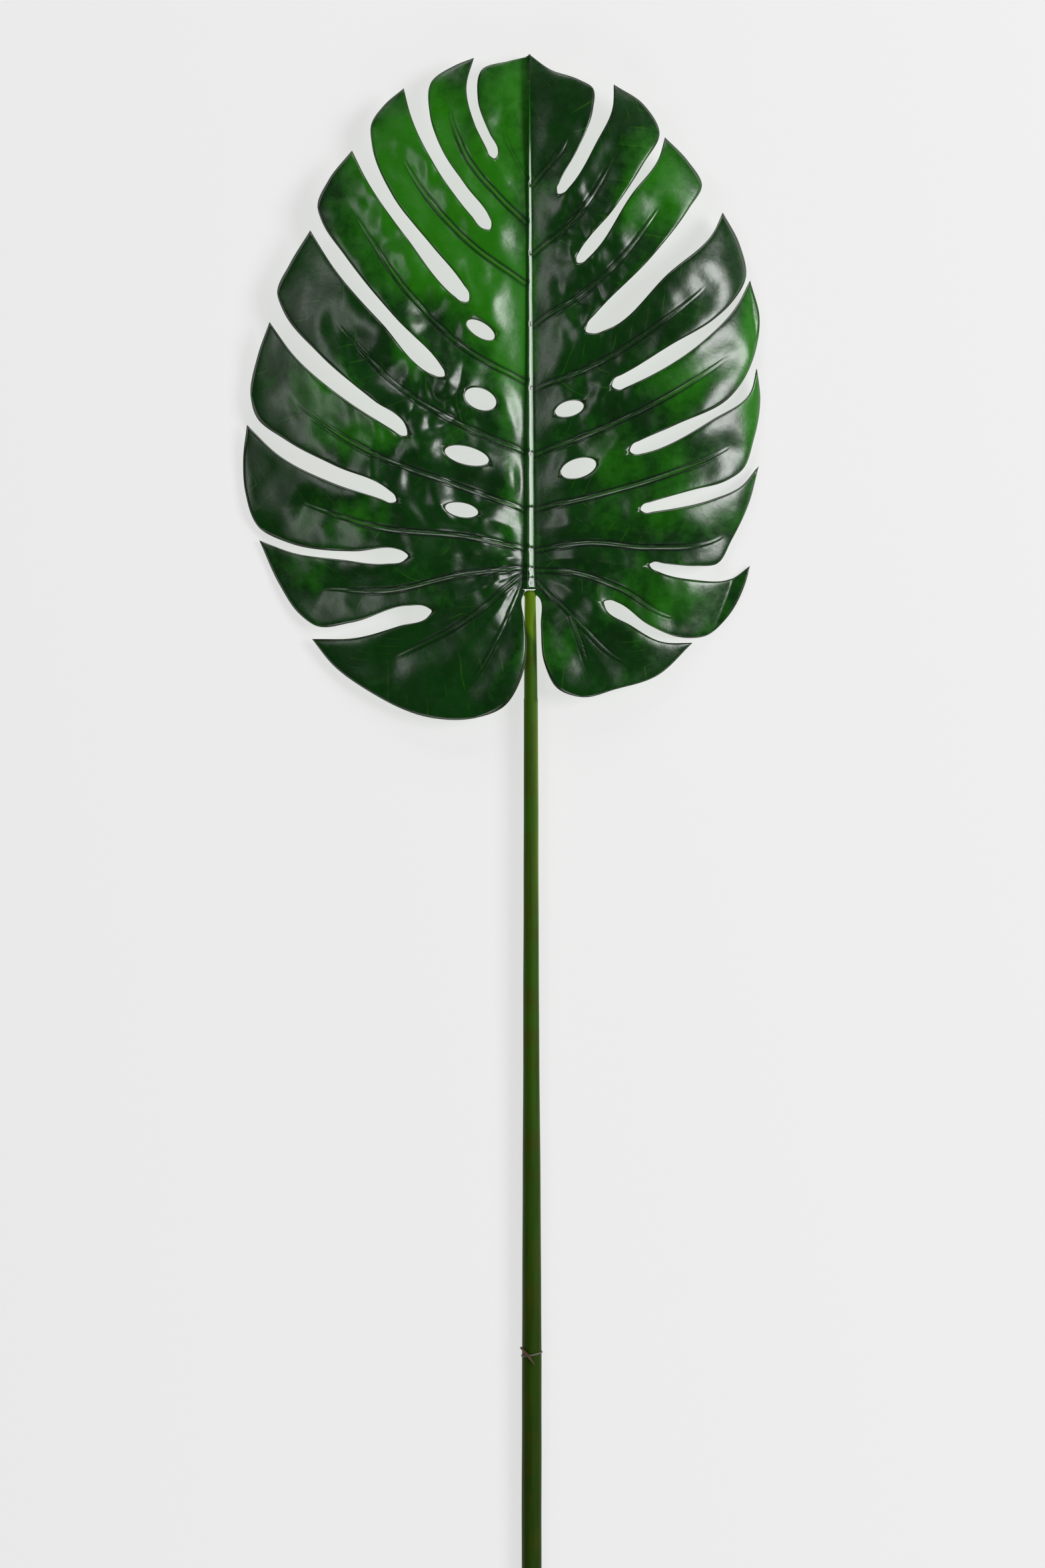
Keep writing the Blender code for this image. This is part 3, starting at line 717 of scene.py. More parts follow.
@dataclass
class BladeForm:
    """The height of the blade's upper side and the masks of its colour: print, with painted shade in the vein
    grooves and painted light on the curled right rim. Sizes are in millimetres.
    """

    plan: LeafPlan
    sinus_height: float = 9.8
    midrib_rise: float = 8.0
    midrib_rise_length: float = 200.0
    crown: float = 9.5
    crown_reach: float = 30.0
    wide_crown: float = 12.0
    wide_crown_reach: float = 85.0
    wide_crown_from: float = 75.0
    wide_crown_length: float = 40.0
    wide_crown_width: float = 20.0
    egg_centre: Point = (-14.0, 96.0)
    egg_half_width: float = 134.0
    egg_above: float = 215.0
    egg_below: float = 205.0
    droop_from: float = 0.42
    droop: float = 18.2
    droop_gain: float = 0.2
    droop_power_left: float = 1.8
    droop_power_right: float = 3.4
    pillow: float = 2.0
    pillow_reach: float = 8.5
    ridge: float = 0.34
    ridge_width: float = 0.6
    groove: float = 0.3
    groove_at: float = 1.35
    groove_width: float = 0.6
    lip: float = 0.5
    lip_reach: float = 1.6
    bend: Bumps = Bumps((60.0, 60.0), 5)
    bend_reach: Point = (7.0, 4.0)
    ripples: tuple[Bumps, ...] = (Bumps((12.5, 22.0), 11, 10.0, 1.35), Bumps((7.0, 11.0), 12, -24.0, 0.405))
    plain_ripple: float = 0.14
    fold: Bumps = Bumps((15.0, 19.0), 21, 33.0)
    small_fold: Bumps = Bumps((9.0, 13.0), 22, -20.0)
    fold_roundness: float = 0.002
    crumple: float = 1.6
    small_crumple: float = 0.8
    plain_crumple: float = 0.06
    dents: Bumps = Bumps((27.0, 23.0), 31, 40.0, 0.9)
    seat_blend: float = 5.0
    wide_seat_blend: float = 18.0
    lowest: float = 0.75
    table_softness: float = 0.3
    clouds: tuple[Bumps, ...] = (Bumps((26.0, 34.0), 41, 25.0, 0.22), Bumps((9.0, 14.0), 42, 0.0, 0.16))
    dark_tip_from: float = 205.0
    dark_tip_length: float = 12.0
    dark_tip_half_width: float = 34.0
    dark_tip_depth: float = 0.85
    midline_width: float = 2.0
    printed_vein_width: float = 0.6
    hair_strength: float = 0.7
    hair_width: float = 0.5
    edge_line_strength: float = 0.75
    edge_line_width: float = 0.5
    rippled: tuple[Spot, ...] = (
        Spot(-24.0, 28.0, 24.0, 34.0, 1.2), Spot(-66.0, 104.0, 36.0, 52.0, 1.1),
        Spot(-80.0, 176.0, 22.0, 26.0, 0.7), Spot(-90.0, 40.0, 50.0, 40.0, 0.7),
        Spot(26.0, 180.0, 34.0, 46.0, 0.8), Spot(34.0, 76.0, 28.0, 40.0, 0.6),
        Spot(-52.0, 214.0, 34.0, 34.0, 0.8), Spot(28.0, -15.0, 26.0, 30.0, 0.6),
        Spot(66.0, 140.0, 26.0, 26.0, 0.5), Spot(66.0, 10.0, 30.0, 16.0, 0.4),
    )
    crumpled: tuple[Spot, ...] = (
        Spot(-46.0, 94.0, 22.0, 26.0, 1.6), Spot(-36.0, 146.0, 16.0, 24.0, 0.7),
        Spot(28.0, 168.0, 24.0, 34.0, 0.8), Spot(-14.0, 0.0, 16.0, 22.0, 1.1),
        Spot(30.0, 100.0, 26.0, 20.0, 0.5),
    )
    bright_print_and_lit_rim: tuple[Spot, ...] = (
        Spot(-46.0, 232.0, 16.0, 34.0, 0.95), Spot(-30.0, 200.0, 24.0, 26.0, 0.95),
        Spot(-72.0, 214.0, 22.0, 36.0, 1.0), Spot(-48.0, 178.0, 26.0, 26.0, 0.9),
        Spot(-20.0, 150.0, 18.0, 30.0, 1.0), Spot(-8.0, 118.0, 9.0, 40.0, 1.0),
        Spot(-6.0, 250.0, 18.0, 34.0, 0.8), Spot(-56.0, 158.0, 18.0, 14.0, 0.5),
        Spot(-62.0, 118.0, 12.0, 10.0, 0.5), Spot(-86.0, 76.0, 26.0, 12.0, 0.55),
        Spot(68.0, 214.0, 14.0, 24.0, 0.6), Spot(54.0, 190.0, 10.0, 18.0, 0.45),
        # The two spots at x = 117 are painted light: the curled right rim is drawn brighter where it faces
        # the right softbox.
        Spot(80.0, 198.0, 16.0, 16.0, 0.5), Spot(117.0, 134.0, 9.0, 30.0, 0.9),
        Spot(117.0, 84.0, 9.0, 26.0, 0.9), Spot(80.0, 108.0, 22.0, 18.0, 0.6),
        Spot(56.0, 64.0, 34.0, 18.0, 0.4), Spot(72.0, 36.0, 34.0, 14.0, 0.45),
        Spot(74.0, -6.0, 30.0, 20.0, 0.5), Spot(-110.0, 100.0, 14.0, 20.0, 0.45),
        Spot(-96.0, 36.0, 26.0, 12.0, 0.35), Spot(-116.0, 8.0, 16.0, 12.0, 0.4),
        Spot(10.0, -34.0, 16.0, 20.0, 0.35), Spot(-8.0, 50.0, 6.0, 30.0, 0.5),
    )

    def base(self, points: Array) -> Array:
        """Work out the broad form.

        It is the midrib's height, which climbs as a quarter sine, plus a crown that rises away from
        the midrib and levels off, soon at the lower left and slowly elsewhere, less a droop that
        grows as a power of the egg-shaped distance from the blade's middle.
        """
        x, y = points[..., 0], points[..., 1]
        climb = np.sin(math.pi / 2 * np.clip(y / self.midrib_rise_length, 0, 1))
        clear = self.clear(points)
        wide = self.wide(points)
        crown = (1 - wide) * self.crown * (1 - np.exp(-clear / self.crown_reach))
        crown = crown + wide * self.wide_crown * (1 - np.exp(-clear / self.wide_crown_reach))
        reach = np.where(y > self.egg_centre[1], self.egg_above, self.egg_below)
        egg = np.hypot((x - self.egg_centre[0]) / self.egg_half_width, (y - self.egg_centre[1]) / reach)
        power = np.where(x < 0, self.droop_power_left, self.droop_power_right)
        share = np.clip((egg - self.droop_from) / (1 - self.droop_from), 0, 1)
        droop = self.droop * (1 + self.droop_gain * climb) * share**power
        return self.sinus_height + self.midrib_rise * climb + crown - droop

    def wide(self, points: Array) -> Array:
        """Return 0 at the lower left, where the blade rises soon, and 1 where it rises slowly."""
        upper = smooth((points[..., 1] - self.wide_crown_from) / self.wide_crown_length)
        return np.maximum(upper, smooth(points[..., 0] / self.wide_crown_width + 0.5))

    def clear(self, points: Array) -> Array:
        """Return the distance from the flat strip under the midrib."""
        x, y = points[..., 0], points[..., 1]
        seat = self.plan.seat_half_width(np.maximum(y, 0))
        return np.hypot(np.maximum(np.abs(x) - seat, 0), np.minimum(y, 0))

    def groove_place(self, strength: Array) -> Array:
        """Return how far beside a ridge its grooves run: closer in where the ridge is weak."""
        return self.groove_at * (0.5 + 0.5 * strength)

    def relief(self, points: Array, vein: Array, strength: Array, edge: Array) -> Array:
        """Work out what stands on the broad form.

        Pillows rise away from the veins as one less a bell. A vein is a narrow bell between two
        grooves. Ripples are long dents across the light, crumples are the sharp folds where a
        noise changes sign, and the free edges roll down.

        Args:
            points: (x, y) pairs.
            vein: distance to the nearest ridge line.
            strength: that ridge's strength there.
            edge: distance to the nearest free edge.

        Returns:
            The height to add.
        """
        pillows = self.pillow * (1 - bell(vein, self.pillow_reach))
        ridges = self.ridge * bell(vein, self.ridge_width)
        grooves = self.groove * bell(vein - self.groove_place(strength), self.groove_width)
        bent = points + self.bend.at(points)[..., None] * self.bend_reach
        ripples = sum(layer.at(bent) for layer in self.ripples)
        folds = np.sqrt(np.square(self.fold.at(bent)) + self.fold_roundness) * self.crumple
        small = np.sqrt(np.square(self.small_fold.at(points)) + self.fold_roundness) * self.small_crumple
        lips = self.lip * np.exp(-edge / self.lip_reach)
        total = pillows + strength * (ridges - grooves) + self.dents.at(points) - lips
        total = total + ripples * (self.plain_ripple + spotted(points, self.rippled))
        total = total + (folds + small) * (self.plain_crumple + spotted(points, self.crumpled))
        blend = self.seat_blend + (self.wide_seat_blend - self.seat_blend) * self.wide(points)
        return total * smooth(self.clear(points) / blend)

    def top(self, points: Array, vein: Array, strength: Array, edge: Array) -> Array:
        """Return the upper side's height, softly held just above the table."""
        height = self.base(points) + self.relief(points, vein, strength, edge) - self.lowest
        return self.lowest + (height + np.sqrt(np.square(height) + self.table_softness)) / 2

    def print_masks(self, points: Array, vein: Array, strength: Array, edge: Array, hair: Array) -> Array:
        """Work out the four colour masks: print, with painted light and painted shade in places.

        Returns:
            Bright green (print, and painted light on the curled right rim), vein ridge, vein groove (painted
            shade) and edge line, each from 0 to 1.
        """
        x, y = points[..., 0], points[..., 1]
        # Bright green: print, plus painted light on the curled right rim.
        bright_print_and_lit_rim = np.clip(spotted(points, self.bright_print_and_lit_rim) + sum(layer.at(points) for layer in self.clouds), 0, 1)
        right = smooth(x / self.midline_width + 0.5)
        tip = smooth((y - self.dark_tip_from) / self.dark_tip_length) * (np.abs(x) < self.dark_tip_half_width)
        bright_print_and_lit_rim = bright_print_and_lit_rim * (1 - self.dark_tip_depth * right * tip)
        ridge = strength * bell(vein, self.printed_vein_width)
        ridge = np.maximum(ridge, self.hair_strength * bell(hair, self.hair_width))
        # Painted shade: the grooves beside each vein are darkened in colour.
        groove = strength * bell(vein - self.groove_place(strength), self.printed_vein_width)
        rim = self.edge_line_strength * bell(edge, self.edge_line_width)
        return np.stack([bright_print_and_lit_rim, ridge, groove, rim], -1)


@dataclass
class BladeHalf:
    """One half of the blade: a sheet of lobes, thickened downwards, that ends under the midrib."""

    drawing: HalfDrawing
    form: BladeForm
    origin: Vector
    thickness: float = 0.6 * MM
    vein_fade: float = 0.85
    vein_fade_from: float = 0.72
    vein_fade_length: float = 0.33

    def ridge_distance(self, points: Array, ridges: list[tuple[Array, float]]) -> tuple[Array, Array]:
        """Return the distance to the nearest ridge, and its strength, which fades towards its end."""
        measured = [nearest(points, line) for line, _ in ridges]
        distance = np.stack([gap for gap, _ in measured])
        fading = np.stack([
            strength * (1 - self.vein_fade * smooth((share - self.vein_fade_from) / self.vein_fade_length))
            for (_, share), (_, strength) in zip(measured, ridges)
        ])
        best = distance.argmin(axis=0)[None]
        return np.take_along_axis(distance, best, 0)[0], np.take_along_axis(fading, best, 0)[0]

    def build(self, name: str, finishes: list[bpy.types.Material]) -> bpy.types.Object:
        """Build the half.

        Args:
            name: of the piece.
            finishes: the materials of its upper side, underside and cut edge.

        Returns:
            The piece.
        """
        plan = self.form.plan
        mirror = np.array([self.drawing.side.value, 1.0])
        ridges = [(line * mirror, strength) for line, strength in plan.ridges(self.drawing)]
        edges = [line * mirror for line in plan.edges(self.drawing)]
        hairs = [through(line) * mirror for line in self.drawing.hairlines]
        skin = Skin()
        for lobe in plan.half(self.drawing):
            points = lobe.points * mirror
            vein, strength = self.ridge_distance(points, ridges)
            edge = np.stack([nearest(points, line)[0] for line in edges]).min(axis=0)
            hair = np.stack([nearest(points, line)[0] for line in hairs]).min(axis=0)
            top = self.form.top(points, vein, strength, edge)
            placed = np.concatenate([points, top[..., None]], -1) * MM + np.array(self.origin)
            masks = self.form.print_masks(points, vein, strength, edge, hair)
            skin.add(placed, lobe.flow * MM, masks)
        made = skin.piece(name, finishes, open_sheet=True)
        wall = made.modifiers.new("thickness", "SOLIDIFY")
        wall.thickness = self.thickness
        wall.offset = -1.0
        wall.material_offset = 1
        wall.material_offset_rim = 2
        return made


# ---------------------------------------------------------------------------------------------
# The midrib, the stem and the thread round it
# ---------------------------------------------------------------------------------------------


@dataclass
class Midrib:
    """The raised rib on the blade: a low gable whose right face is the broader one."""

    form: BladeForm
    origin: Vector
    foot: float = -0.3
    tip: float = 262.0
    stations: int = 420
    sunk: float = 0.25
    profile: tuple[Point, ...] = (
        (1.0, -0.12), (1.0, 0.14), (0.9, 0.29), (0.45, 0.5), (0.0, 0.71), (-0.22, 0.75),
        (-0.45, 0.64), (-0.8, 0.3), (-0.98, 0.1), (-1.0, -0.12),
    )
    narrowing_from: float = 246.0
    narrowing_length: float = 18.0
    narrowing: float = 0.75
    flattening_from: float = 225.0
    flattening: float = 0.72
    # Where the painted highlight on the rib's right flank starts across its profile, and how soft its edge
    # is.
    lit_flank_from: float = -0.3
    lit_flank_width: float = 0.4
    wobble: Bumps = Bumps((9.0, 13.0), 51, 0.0, 0.12)
    joint_dip: float = 0.22
    joint_length: float = 1.1
    joint_offset: float = 0.8

    def build(self, name: str, finish: bpy.types.Material) -> bpy.types.Object:
        """Build the rib.

        The profile, scaled by the rib's half width, is carried up the midrib on the blade's own
        height. Where a vein leaves, the rib dips by a bell along its length. Both ends close on
        their own middle point.

        Args:
            name: of the piece.
            finish: its material.

        Returns:
            The piece.
        """
        where = np.linspace(0, 1, self.stations)
        ups = self.foot + (self.tip - self.foot) * where
        narrowed = 1 - self.narrowing * smooth((ups - self.narrowing_from) / self.narrowing_length)
        half = self.form.plan.midrib_half_width(ups) * narrowed
        profile = through(self.profile)
        midline = np.column_stack([np.zeros_like(ups), ups])
        seat = self.form.base(midline)
        fade = 1 - self.flattening * smooth((ups - self.flattening_from) / (self.tip - self.flattening_from))
        dips = np.zeros((len(ups), len(profile)))
        for drawing in (LEFT_HALF, RIGHT_HALF):
            flank = smooth(profile[:, 0] * drawing.side.value + 0.5)
            for vein in (vein for lobe in drawing.veins for vein in lobe):
                dip = self.joint_dip * bell(ups - vein.up - self.joint_offset, self.joint_length)
                dips += dip[:, None] * flank * (profile[:, 1] > 0)
        x = profile[None, :, 0] * half[:, None] + self.wobble.at(midline)[:, None]
        z = seat[:, None] + profile[None, :, 1] * half[:, None] * fade[:, None] - dips
        y = np.broadcast_to(ups[:, None], x.shape)
        rings = np.stack([x, y, z], -1)
        ends = [rings[index].mean(axis=0) for index in (0, -1)]
        rings = np.concatenate([
            np.broadcast_to(ends[0], (1, *rings.shape[1:])), rings,
            np.broadcast_to(ends[1], (1, *rings.shape[1:])),
        ])
        flow = np.stack([rings[..., 1], rings[..., 0]], -1) * MM
        # Painted highlight: the right part of the profile gets the lighter crown green.
        ridge = smooth((profile[:, 0] - self.lit_flank_from) / self.lit_flank_width)
        masks = np.zeros((*rings.shape[:2], 4))
        masks[..., 0] = ridge[None]
        # Painted shade: the colour darkens where the rib dips at each vein.
        masks[1:-1, :, 1] = dips / self.joint_dip
        skin = Skin()
        skin.add(rings * MM + np.array(self.origin), flow, masks, closed=True)
        return skin.piece(name, [finish])


@dataclass
class Stem:
    """The stem: a sleeved round bar that thins towards the blade, with two ears under it."""

    origin: Vector
    ups: tuple[float, ...] = (
        -523.7, -460.0, -400.0, -330.0, -250.0, -180.0, -110.0, -60.0, -20.0, -5.0, -2.6, -1.6)
    sideways: tuple[float, ...] = (1.3, 1.3, 1.4, 1.3, 1.1, 1.0, 1.0, 0.9, 0.6, 0.5, 0.5, 0.5)
    radii: tuple[float, ...] = (5.0, 5.0, 4.9, 4.6, 4.1, 3.8, 3.6, 3.5, 3.1, 2.9, 2.7, 1.9)
    axis_rise: float = 3.6
    sides: int = 48
    stations: int = 640
    fine_from: float = -8.0
    fine_stations: int = 40
    body_from: float = 0.6
    bevel: float = 0.15
    bevel_share: float = 0.965
    cap: float = 0.05
    cap_shares: tuple[float, ...] = (0.0, 0.55, 0.9)
    waves: Bumps = Bumps((4.0, 46.0), 61, 0.0, 0.1)
    waves_per_turn: float = 2.2
    flow_per_turn: float = 4.0
    channel: float = 0.22
    channel_turn: float = 2.85
    channel_width: float = 0.35
    channel_from: float = -4.0
    channel_blend: float = 20.0
    ear: float = 0.9
    ear_up: float = -3.4
    ear_length: float = 1.0
    ear_sharpness: int = 7
    sleeve_step: float = 0.16
    sleeve_end: float = -57.0
    step_length: float = 0.9
    step_reach: float = 1.0
    step_stations: int = 9
    # The painted highlight on the right shoulder: where it begins, how it blends in, how narrow it is and how
    # it fades at the sleeve's end.
    lit_shoulder_from: float = -190.0
    lit_shoulder_blend: float = 60.0
    lit_shoulder_sharpness: int = 3
    lit_shoulder_end_blend: float = 4.0
    dark_from: float = -60.0
    dark_length: float = 420.0
    # The lime top ends at a slanted painted shadow edge, where the blade's shadow falls on the stem.
    shadow_edge_at: float = -27.5
    shadow_edge_slant: float = 4.0
    shadow_edge_blend: float = 6.0
    lowest: float = 0.05

    def axis(self, up: Array | float) -> tuple[Array, Array, Array]:
        """Return the axis's sideways place and height, and the radius, at a distance up the stem."""
        share = (np.asarray(up) - self.ups[0]) / (self.ups[-1] - self.ups[0])
        height = self.radii[0] + self.axis_rise * share
        return np.interp(up, self.ups, self.sideways), height, np.interp(up, self.ups, self.radii)

    def build(self, name: str, finish: bpy.types.Material) -> bpy.types.Object:
        """Build the stem.

        Rings of the stem's radius follow its axis. The radius gets a shallow channel on the upper
        side, slow waves along the stem, a step where the sleeve ends, and a bell-shaped ear at each
        side under the blade. Both ends shrink to a point over a small bevel.

        Args:
            name: of the piece.
            finish: its material.

        Returns:
            The piece.
        """
        body = np.linspace(self.ups[0] + self.body_from, self.ups[-1], self.stations)
        fine = np.linspace(self.fine_from, self.ups[-1], self.fine_stations)
        step = self.sleeve_end + np.linspace(-self.step_reach, self.step_reach, self.step_stations)
        ups = np.unique(np.concatenate([body, fine, step]))
        ends = self.cap_shares
        cut = np.r_[np.full(len(ends), self.ups[0]), self.ups[0] + self.bevel]
        ups = np.r_[cut, ups, np.full(len(ends), self.ups[-1] + self.cap)]
        shrink = np.r_[ends, self.bevel_share, np.ones(len(ups) - 2 * len(ends) - 1), ends[::-1]][:, None]
        turn = np.linspace(0, 2 * math.pi, self.sides, endpoint=False)
        x, z, radius = (value[:, None] for value in self.axis(ups))
        side = np.sin(turn)
        waves = self.waves.at(np.stack(np.meshgrid(turn * self.waves_per_turn, ups), -1))
        up = ups[:, None]
        channel = -self.channel * bell(turn - self.channel_turn, self.channel_width)
        channel = channel * smooth((self.channel_from - up) / self.channel_blend)
        beyond = self.sleeve_end - up
        step = self.sleeve_step * smooth(beyond / self.step_length)
        ears = self.ear * np.abs(side) ** self.ear_sharpness * bell(up - self.ear_up, self.ear_length)
        radius = radius * shrink + (waves + channel + step + ears) * (shrink >= self.bevel_share)
        px = x + radius * side
        pz = np.maximum(z - radius * np.cos(turn), self.lowest)
        py = np.broadcast_to(up, px.shape)
        # Partly the sleeve's lime tint and partly painted light: the top is lime above a slanted painted
        # shadow edge.
        lime_and_lit = smooth((up + self.shadow_edge_slant * side - self.shadow_edge_at) / self.shadow_edge_blend)
        # Painted highlight: the stem's right shoulder is painted paler.
        pale = np.clip(side, 0, 1) ** self.lit_shoulder_sharpness * smooth(beyond / self.lit_shoulder_end_blend)
        pale = pale * smooth((up - self.lit_shoulder_from) / self.lit_shoulder_blend)
        dark = np.broadcast_to(smooth((self.dark_from - up) / self.dark_length), px.shape)
        masks = np.stack([lime_and_lit, pale, dark, np.zeros_like(lime_and_lit)], -1)
        flow = np.stack([py, np.broadcast_to(turn * self.flow_per_turn, px.shape)], -1) * MM
        skin = Skin()
        skin.add(np.stack([px, py, pz], -1) * MM + np.array(self.origin), flow, masks, closed=True)
        return skin.piece(name, [finish])


@dataclass
class Tie:
    """The scrap of fibre tied round the stem: a flat thread once round, and its torn loose end."""

    stem: Stem
    origin: Vector
    up: float = -397.8
    lean: float = 1.0
    thread_width: float = 0.95
    thread_thickness: float = 0.22
    end_from: Point = (-4.6, -394.2)
    end_to: Point = (2.9, -402.8)
    end_width: float = 1.9
    end_bow: float = 0.5
    end_taper: Point = (1.1, 0.75)
    end_lift: Point = (0.55, 0.3)
    end_thickness: float = 0.12
    lens: Point = (0.05, 0.93)
    ring_stations: int = 72
    round_stations: int = 12
    end_stations: int = 40
    fray_per_turn: float = 3.0
    fray: Bumps = Bumps((1.0, 1.0), 71, 0.0, 0.12)
    gap: float = 0.12
    ring_gap: float = 0.44
    lowest: float = 0.03

    def on_stem(self, x: Array, up: Array) -> Array:
        """Return points that lie on the stem's upper side, by their sideways place and distance up."""
        axis_x, axis_z, radius = self.stem.axis(up)
        reach = radius + self.stem.sleeve_step + self.gap
        z = axis_z + np.sqrt(np.maximum(reach**2 - np.square(x - axis_x), 0.0))
        return np.stack([x, up, z], -1)

    def build(self, name: str, finish: bpy.types.Material) -> bpy.types.Object:
        """Build both strands in one piece.

        The ring is a flattened oval carried once round the stem on a leaning circle. The loose end
        is a lens-shaped strip that narrows along a slanting line on the stem.

        Args:
            name: of the piece.
            finish: its material.

        Returns:
            The piece.
        """
        turn = np.linspace(0, 2 * math.pi, self.ring_stations, endpoint=False)
        round_ = np.linspace(0, 2 * math.pi, self.round_stations, endpoint=False)
        x, z, radius = self.stem.axis(self.up)
        fray = self.fray.at(np.stack([turn * self.fray_per_turn, np.zeros_like(turn)], -1))
        out = radius + self.ring_gap + self.thread_thickness * np.cos(round_)[None]
        along = self.up + self.lean * np.sin(turn)[:, None]
        along = along + (self.thread_width / 2 + fray[:, None]) * np.sin(round_)[None]
        ring = np.stack([x + out * np.sin(turn)[:, None], along, z + out * np.cos(turn)[:, None]], -1)
        ring[..., 2] = np.maximum(ring[..., 2], self.lowest)
        ring = np.concatenate([ring, ring[:1]])
        skin = Skin()
        self.add(skin, ring, 0.0)
        where = np.linspace(0, 1, self.end_stations)[:, None]
        lens = np.sqrt(np.sin(math.pi * (self.lens[0] + self.lens[1] * where)))
        width = self.end_width / 2 * lens * (self.end_taper[0] - self.end_taper[1] * where)
        width[[0, -1]] = 0
        start, stop = np.array(self.end_from), np.array(self.end_to)
        across = np.array([stop[1] - start[1], start[0] - stop[0]]) / np.linalg.norm(stop - start)
        flat = start + where[..., None] * (stop - start) + (width * np.cos(round_))[..., None] * across
        flat[..., 0] += self.end_bow * np.sin(where * math.pi)
        lift = self.end_lift[0] + self.end_lift[1] * where
        strand = self.on_stem(flat[..., 0], flat[..., 1])
        strand[..., 2] += lift + self.end_thickness * np.sin(round_)[None] * np.sign(width)
        self.add(skin, strand, 1.0)
        return skin.piece(name, [finish])

    def add(self, skin: Skin, rings: Array, warm: float) -> None:
        """Put rings into the skin, with one tint for all of them."""
        masks = np.zeros((*rings.shape[:2], 4))
        masks[..., 0] = warm
        flow = rings[..., :2] * MM
        skin.add(rings * MM + np.array(self.origin), flow, masks, closed=True)


# ---------------------------------------------------------------------------------------------
# Finishes
# ---------------------------------------------------------------------------------------------


Socket = bpy.types.NodeSocket
Colour = Socket | tuple[float, float, float, float]


def linear(code: str) -> tuple[float, float, float, float]:
    """Turn an sRGB hex code such as #3A7F12 into the renderer's linear colour."""
    values = [int(code[i: i + 2], 16) / 255 for i in (1, 3, 5)]
    r, g, b = (v / 12.92 if v <= 0.04045 else ((v + 0.055) / 1.055) ** 2.4 for v in values)
    return r, g, b, 1.0


def per_metre(size_mm: float) -> float:
    """Return the texture scale whose features are about this many millimetres across."""
    return 1.0 / (size_mm * MM)


def add(tree: bpy.types.NodeTree, kind: str, links: dict | None = None, **settings: object) -> bpy.types.Node:
    """Add a node.

    Args:
        tree: the material's node tree.
        kind: the node's type name.
        links: what goes into each of its inputs, by name or index: a socket or a plain value.
        settings: the node's own properties.

    Returns:
        The new node.
    """
    made = tree.nodes.new(kind)
    for key, value in settings.items():
        setattr(made, key, value)
    for key, value in (links or {}).items():
        if isinstance(value, Socket):
            tree.links.new(value, made.inputs[key])
        else:
            made.inputs[key].default_value = value
    return made


def mixed(tree: bpy.types.NodeTree, share: Socket, low: Colour, high: Colour) -> Socket:
    """Mix two colours by a share."""
    return add(tree, "ShaderNodeMix", {0: share, 6: low, 7: high}, data_type="RGBA").outputs[2]


def speckle(tree: bpy.types.NodeTree, place: Socket, size_mm: float, detail: float = 2.0,
            roughness: float = 0.5) -> Socket:
    """Return a noise whose features are about this many millimetres across."""
    links = {"Vector": place, "Scale": per_metre(size_mm), "Detail": detail, "Roughness": roughness}
    return add(tree, "ShaderNodeTexNoise", links).outputs["Fac"]


def ranged(tree: bpy.types.NodeTree, value: Socket, low: float, high: float, to_low: float = 0.0,
           to_high: float = 1.0) -> Socket:
    """Stretch a value from one range to another, held within it."""
    return add(tree, "ShaderNodeMapRange", {0: value, 1: low, 2: high, 3: to_low, 4: to_high}).outputs[0]


def maths(tree: bpy.types.NodeTree, operation: str, *values: Socket | float, clamped: bool = False) -> Socket:
    """Work out one sum of values."""
    links = dict(enumerate(values))
    return add(tree, "ShaderNodeMath", links, operation=operation, use_clamp=clamped).outputs[0]


def bumped(tree: bpy.types.NodeTree, height: Socket, strength: float, depth_mm: float,
           under: Socket | None = None) -> Socket:
    """Return the surface's normal, roughened by a height on top of another bump."""
    links = {"Height": height, "Strength": strength, "Distance": depth_mm * MM}
    if under is not None:
        links["Normal"] = under
    return add(tree, "ShaderNodeBump", links).outputs[0]


def scaled(tree: bpy.types.NodeTree, value: Socket, by: Socket | float) -> Socket:
    """Multiply a colour or a vector by a number."""
    return add(tree, "ShaderNodeVectorMath", {0: value, 3: by}, operation="SCALE").outputs[0]


def stretched(tree: bpy.types.NodeTree, place: Socket, by: tuple[float, float, float]) -> Socket:
    """Return a place multiplied axis by axis, which draws a pattern out along the small ones."""
    return add(tree, "ShaderNodeMapping", {0: place, 3: by}).outputs[0]


def own_place(tree: bpy.types.NodeTree) -> Socket:
    """Return a point's own place on its piece."""
    return add(tree, "ShaderNodeTexCoord").outputs["Object"]


def painted(tree: bpy.types.NodeTree) -> tuple[Socket, Socket, Socket, Socket]:
    """Return a piece's four masks."""
    masks = add(tree, "ShaderNodeAttribute", attribute_name="paint").outputs
    first, second, third = add(tree, "ShaderNodeSeparateColor", {0: masks["Color"]}).outputs[:3]
    return first, second, third, masks["Alpha"]


def blank(name: str) -> tuple[bpy.types.Material, bpy.types.NodeTree, bpy.types.Node]:
    """Return a new material, its node tree and its Principled shader."""
    material = bpy.data.materials.new(name)
    material.use_nodes = True
    return material, material.node_tree, material.node_tree.nodes["Principled BSDF"]


